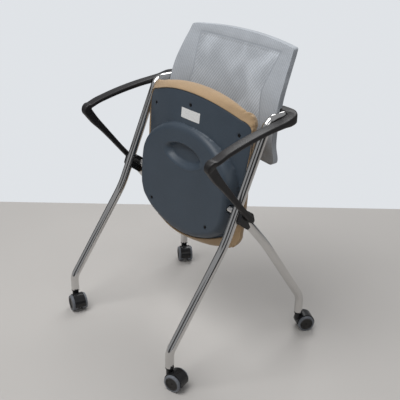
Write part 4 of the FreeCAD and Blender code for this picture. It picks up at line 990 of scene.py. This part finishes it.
def make_material(name):
    """The finish of a name, made the first time that it is asked for."""
    paint = colours()
    if name == "chrome_tube":
        return metal_material(name, (0.65, 0.64, 0.63), 0.045, 0.05)
    if name == "steel":
        return metal_material(name, (0.5, 0.49, 0.47), 0.28, 0.2)
    if name == "black_steel":
        return metal_material(name, (0.02, 0.02, 0.022), 0.35, 0.15)
    if name == "upholstery":
        return upholstery_material()
    if name == "knit":
        return knit_material()
    if name == "plywood":
        return plywood_material()
    plain = {
        "shell_plastic": (paint.shell, 0.10, 620.0, 0.03, 0.42, 0.00018),
        "arm_plastic": (paint.arm, 0.10, 800.0, 0.03, 0.42, 0.00014),
        "black_plastic": ((0.012, 0.012, 0.013), 0.08, 900.0, 0.02, 0.24, 0.00005),
        "frame_plastic": ((0.03, 0.032, 0.035), 0.1, 900.0, 0.02, 0.5, 0.00012),
        "bush_plastic": ((0.35, 0.34, 0.32), 0.1, 900.0, 0.02, 0.45, 0.0001),
        "label_stock": ((0.75, 0.75, 0.74), 0.04, 300.0, 0.02, 0.5, 0.00003),
        "tread_rubber": (paint.tread, 0.16, 700.0, 0.14, 0.55, 0.00012),
        "hub_plastic": ((0.02, 0.018, 0.017), 0.12, 900.0, 0.05, 0.32, 0.00008),
    }[name]
    return moulded_material(name, tuple(plain[0]), *plain[1:])


def wear_material(piece, name):
    """Gives a piece its finish in all its slots."""
    material = bpy.data.materials.get(f"finish_{name}") or make_material(name)
    if piece.material_slots:
        for slot in piece.material_slots:
            slot.material = material
    else:
        piece.data.materials.append(material)


class CHAIR_OT_finishes(bpy.types.Operator):
    """Gives every CAD node that stays its finish."""

    bl_idname = "chair.finishes"
    bl_label = "Finishes"

    def execute(self, context):
        for part in frame["record"]["subparts"]:
            dark = part["node"].startswith(("arm_bolts", "caster_axle"))
            wear_material(frame["nodes"][part["node"]], "black_steel" if dark else part["material_slot"])
        return {"FINISHED"}


class CHAIR_OT_stage(bpy.types.Operator):
    """Lays the floor, lights the chair softly and sets up the camera."""

    bl_idname = "chair.stage"
    bl_label = "Stage"

    def execute(self, context):
        lay_floor()
        hang_cards()
        set_world()
        for name, place, size, power in (
            ("key_light", (-0.3, -1.3, 3.5), 2.2, 82),
            ("fill_light", (2.6, -0.9, 2.0), 1.4, 8),
            ("rear_light", (-1.2, 1.6, 2.8), 1.4, 30),
        ):
            set_light(name, Vector(place), size, power)
        set_camera()
        bpy.context.scene.view_settings.view_transform = "Standard"
        return {"FINISHED"}


def lay_floor():
    """A floor that ends a little behind the chair, so that the pale background stands above it."""
    deselect()
    bpy.ops.mesh.primitive_plane_add(size=1)
    floor = bpy.context.object
    floor.name = "stage_floor"
    ahead = Vector((-math.sin(CAMERA_TURN), math.cos(CAMERA_TURN)))
    aside = Vector((math.cos(CAMERA_TURN), math.sin(CAMERA_TURN)))
    corners = []
    for vertex in floor.data.vertices:
        deep = 0.80 if vertex.co.y > 0 else -4.0
        flat = ahead * deep + aside * (vertex.co.x * 9)
        corners.append((flat.x, flat.y, 0.0))
    set_points(floor, corners)
    material, tree, shader, mapping = blank_material("stage_floor")
    tone = spread(tree, noise(tree, mapping.outputs[0], 1.6, 2.0), 0.0, 1.0, 0.94, 1.06)
    tree.links.new(blend_colour(tree, 1.0, (*colours().floor, 1), grey(tree, tone), "MULTIPLY"),
                   shader.inputs["Base Color"])
    shader.inputs["Roughness"].default_value = 0.6
    floor.data.materials.append(material)


def hang_cards():
    """Dark cards out of the camera's sight, which the bright tubes reflect."""
    material, tree, shader, _ = blank_material("stage_card")
    shader.inputs["Base Color"].default_value = (0.03, 0.03, 0.032, 1)
    clear = tree.nodes.new("ShaderNodeBsdfTransparent")
    path = tree.nodes.new("ShaderNodeLightPath")
    mix = add(tree, "ShaderNodeMixShader", {0: path.outputs["Is Camera Ray"], 1: shader.outputs[0],
                                            2: clear.outputs[0]})
    output = next(node for node in tree.nodes if node.type == "OUTPUT_MATERIAL")
    tree.links.new(mix.outputs[0], output.inputs[0])
    for name, azimuth, away, width, low, top in (
        ("stage_card_front", 15, 3.2, 2.0, 0.0, 1.9),
        ("stage_card_right", 88, 3.2, 2.6, 0.0, 2.0),
        ("stage_card_left", -75, 3.2, 1.8, 0.0, 1.6),
        ("stage_card_rear", 165, 3.2, 1.6, 0.0, 1.3),
    ):
        deselect()
        bpy.ops.mesh.primitive_plane_add(size=1)
        card = bpy.context.object
        card.name = name
        turn = math.radians(azimuth)
        back = Vector((math.sin(turn), -math.cos(turn), 0))
        aside = Vector((math.cos(turn), math.sin(turn), 0))
        places = []
        for vertex in card.data.vertices:
            height = top if vertex.co.y > 0 else low
            places.append(tuple(back * away + aside * (vertex.co.x * width) + Vector((0, 0, height))))
        set_points(card, places)
        card.data.materials.append(material)


def set_world():
    """A plain pale background, and a plain soft light from all round."""
    world = bpy.data.worlds.new("stage_world")
    bpy.context.scene.world = world
    world.use_nodes = True
    tree = world.node_tree
    tree.nodes.clear()
    seen = add(tree, "ShaderNodeBackground", {"Color": (0.745, 0.77, 0.80, 1), "Strength": 1.0})
    light = add(tree, "ShaderNodeBackground", {"Color": (0.95, 0.97, 1.0, 1), "Strength": 0.36})
    path = tree.nodes.new("ShaderNodeLightPath")
    mix = add(tree, "ShaderNodeMixShader", {0: path.outputs["Is Camera Ray"], 1: light.outputs[0],
                                            2: seen.outputs[0]})
    output = tree.nodes.new("ShaderNodeOutputWorld")
    tree.links.new(mix.outputs[0], output.inputs[0])


def set_light(name, place, size, power):
    """A square soft light that looks at the chair's middle."""
    lamp = bpy.data.lights.new(name, "AREA")
    lamp.shape = "SQUARE"
    lamp.size = size
    lamp.energy = power
    made = bpy.data.objects.new(name, lamp)
    bpy.context.scene.collection.objects.link(made)
    made.location = place
    made.rotation_mode = "QUATERNION"
    made.rotation_quaternion = (Vector((0, 0, 0.45)) - place).to_track_quat("-Z", "Y")


def set_camera():
    """The viewing angle of the picture, taken on a square frame."""
    lens = bpy.data.cameras.new("camera")
    lens.sensor_width = 36
    lens.lens = 703.2 * 36 / 400
    lens.clip_start = 0.05
    lens.clip_end = 50
    camera = bpy.data.objects.new("camera", lens)
    bpy.context.scene.collection.objects.link(camera)
    azimuth, elevation, roll = CAMERA_TURN, math.radians(25.23), math.radians(1.06)
    ahead = Vector((-math.sin(azimuth) * math.cos(elevation), math.cos(azimuth) * math.cos(elevation),
                    -math.sin(elevation)))
    right = Vector((math.cos(azimuth), math.sin(azimuth), 0))
    up = right.cross(ahead)
    turned_right = right * math.cos(roll) + up * math.sin(roll)
    turned_up = up * math.cos(roll) - right * math.sin(roll)
    axes = Matrix((turned_right, turned_up, -ahead)).transposed().to_4x4()
    camera.matrix_world = Matrix.Translation((1.4717, -1.1812, 1.2911)) @ axes
    bpy.context.scene.camera = camera


STEPS = (CHAIR_OT_stage, CHAIR_OT_finishes, CHAIR_OT_shell, CHAIR_OT_shell_screws, CHAIR_OT_back_knit,
         CHAIR_OT_armrests, CHAIR_OT_cushion)


class CHAIR_PT_panel(bpy.types.Panel):
    """Lists the chair's sizes, colours and steps."""

    bl_idname = "CHAIR_PT_panel"
    bl_label = "Nesting chair"
    bl_space_type = "VIEW_3D"
    bl_region_type = "UI"
    bl_category = "Nesting chair"

    def draw(self, context):
        for group in (context.scene.chair_sizes, context.scene.chair_colours):
            box = self.layout.box()
            for name in group.__annotations__:
                box.prop(group, name)
        for step in STEPS:
            self.layout.operator(step.bl_idname)


CLASSES = (ChairSizes, ChairColours, *STEPS, CHAIR_PT_panel)


def register():
    for item in CLASSES:
        bpy.utils.register_class(item)
    bpy.types.Scene.chair_sizes = bpy.props.PointerProperty(type=ChairSizes)
    bpy.types.Scene.chair_colours = bpy.props.PointerProperty(type=ChairColours)


def unregister():
    del bpy.types.Scene.chair_colours
    del bpy.types.Scene.chair_sizes
    for item in reversed(CLASSES):
        bpy.utils.unregister_class(item)


def main():
    register()
    bpy.ops.chair.stage()
    bpy.ops.chair.finishes()
    bpy.ops.chair.shell()
    bpy.ops.chair.shell_screws()
    bpy.ops.chair.back_knit()
    bpy.ops.chair.armrests()
    bpy.ops.chair.cushion()


if __name__ == "__main__":
    main()
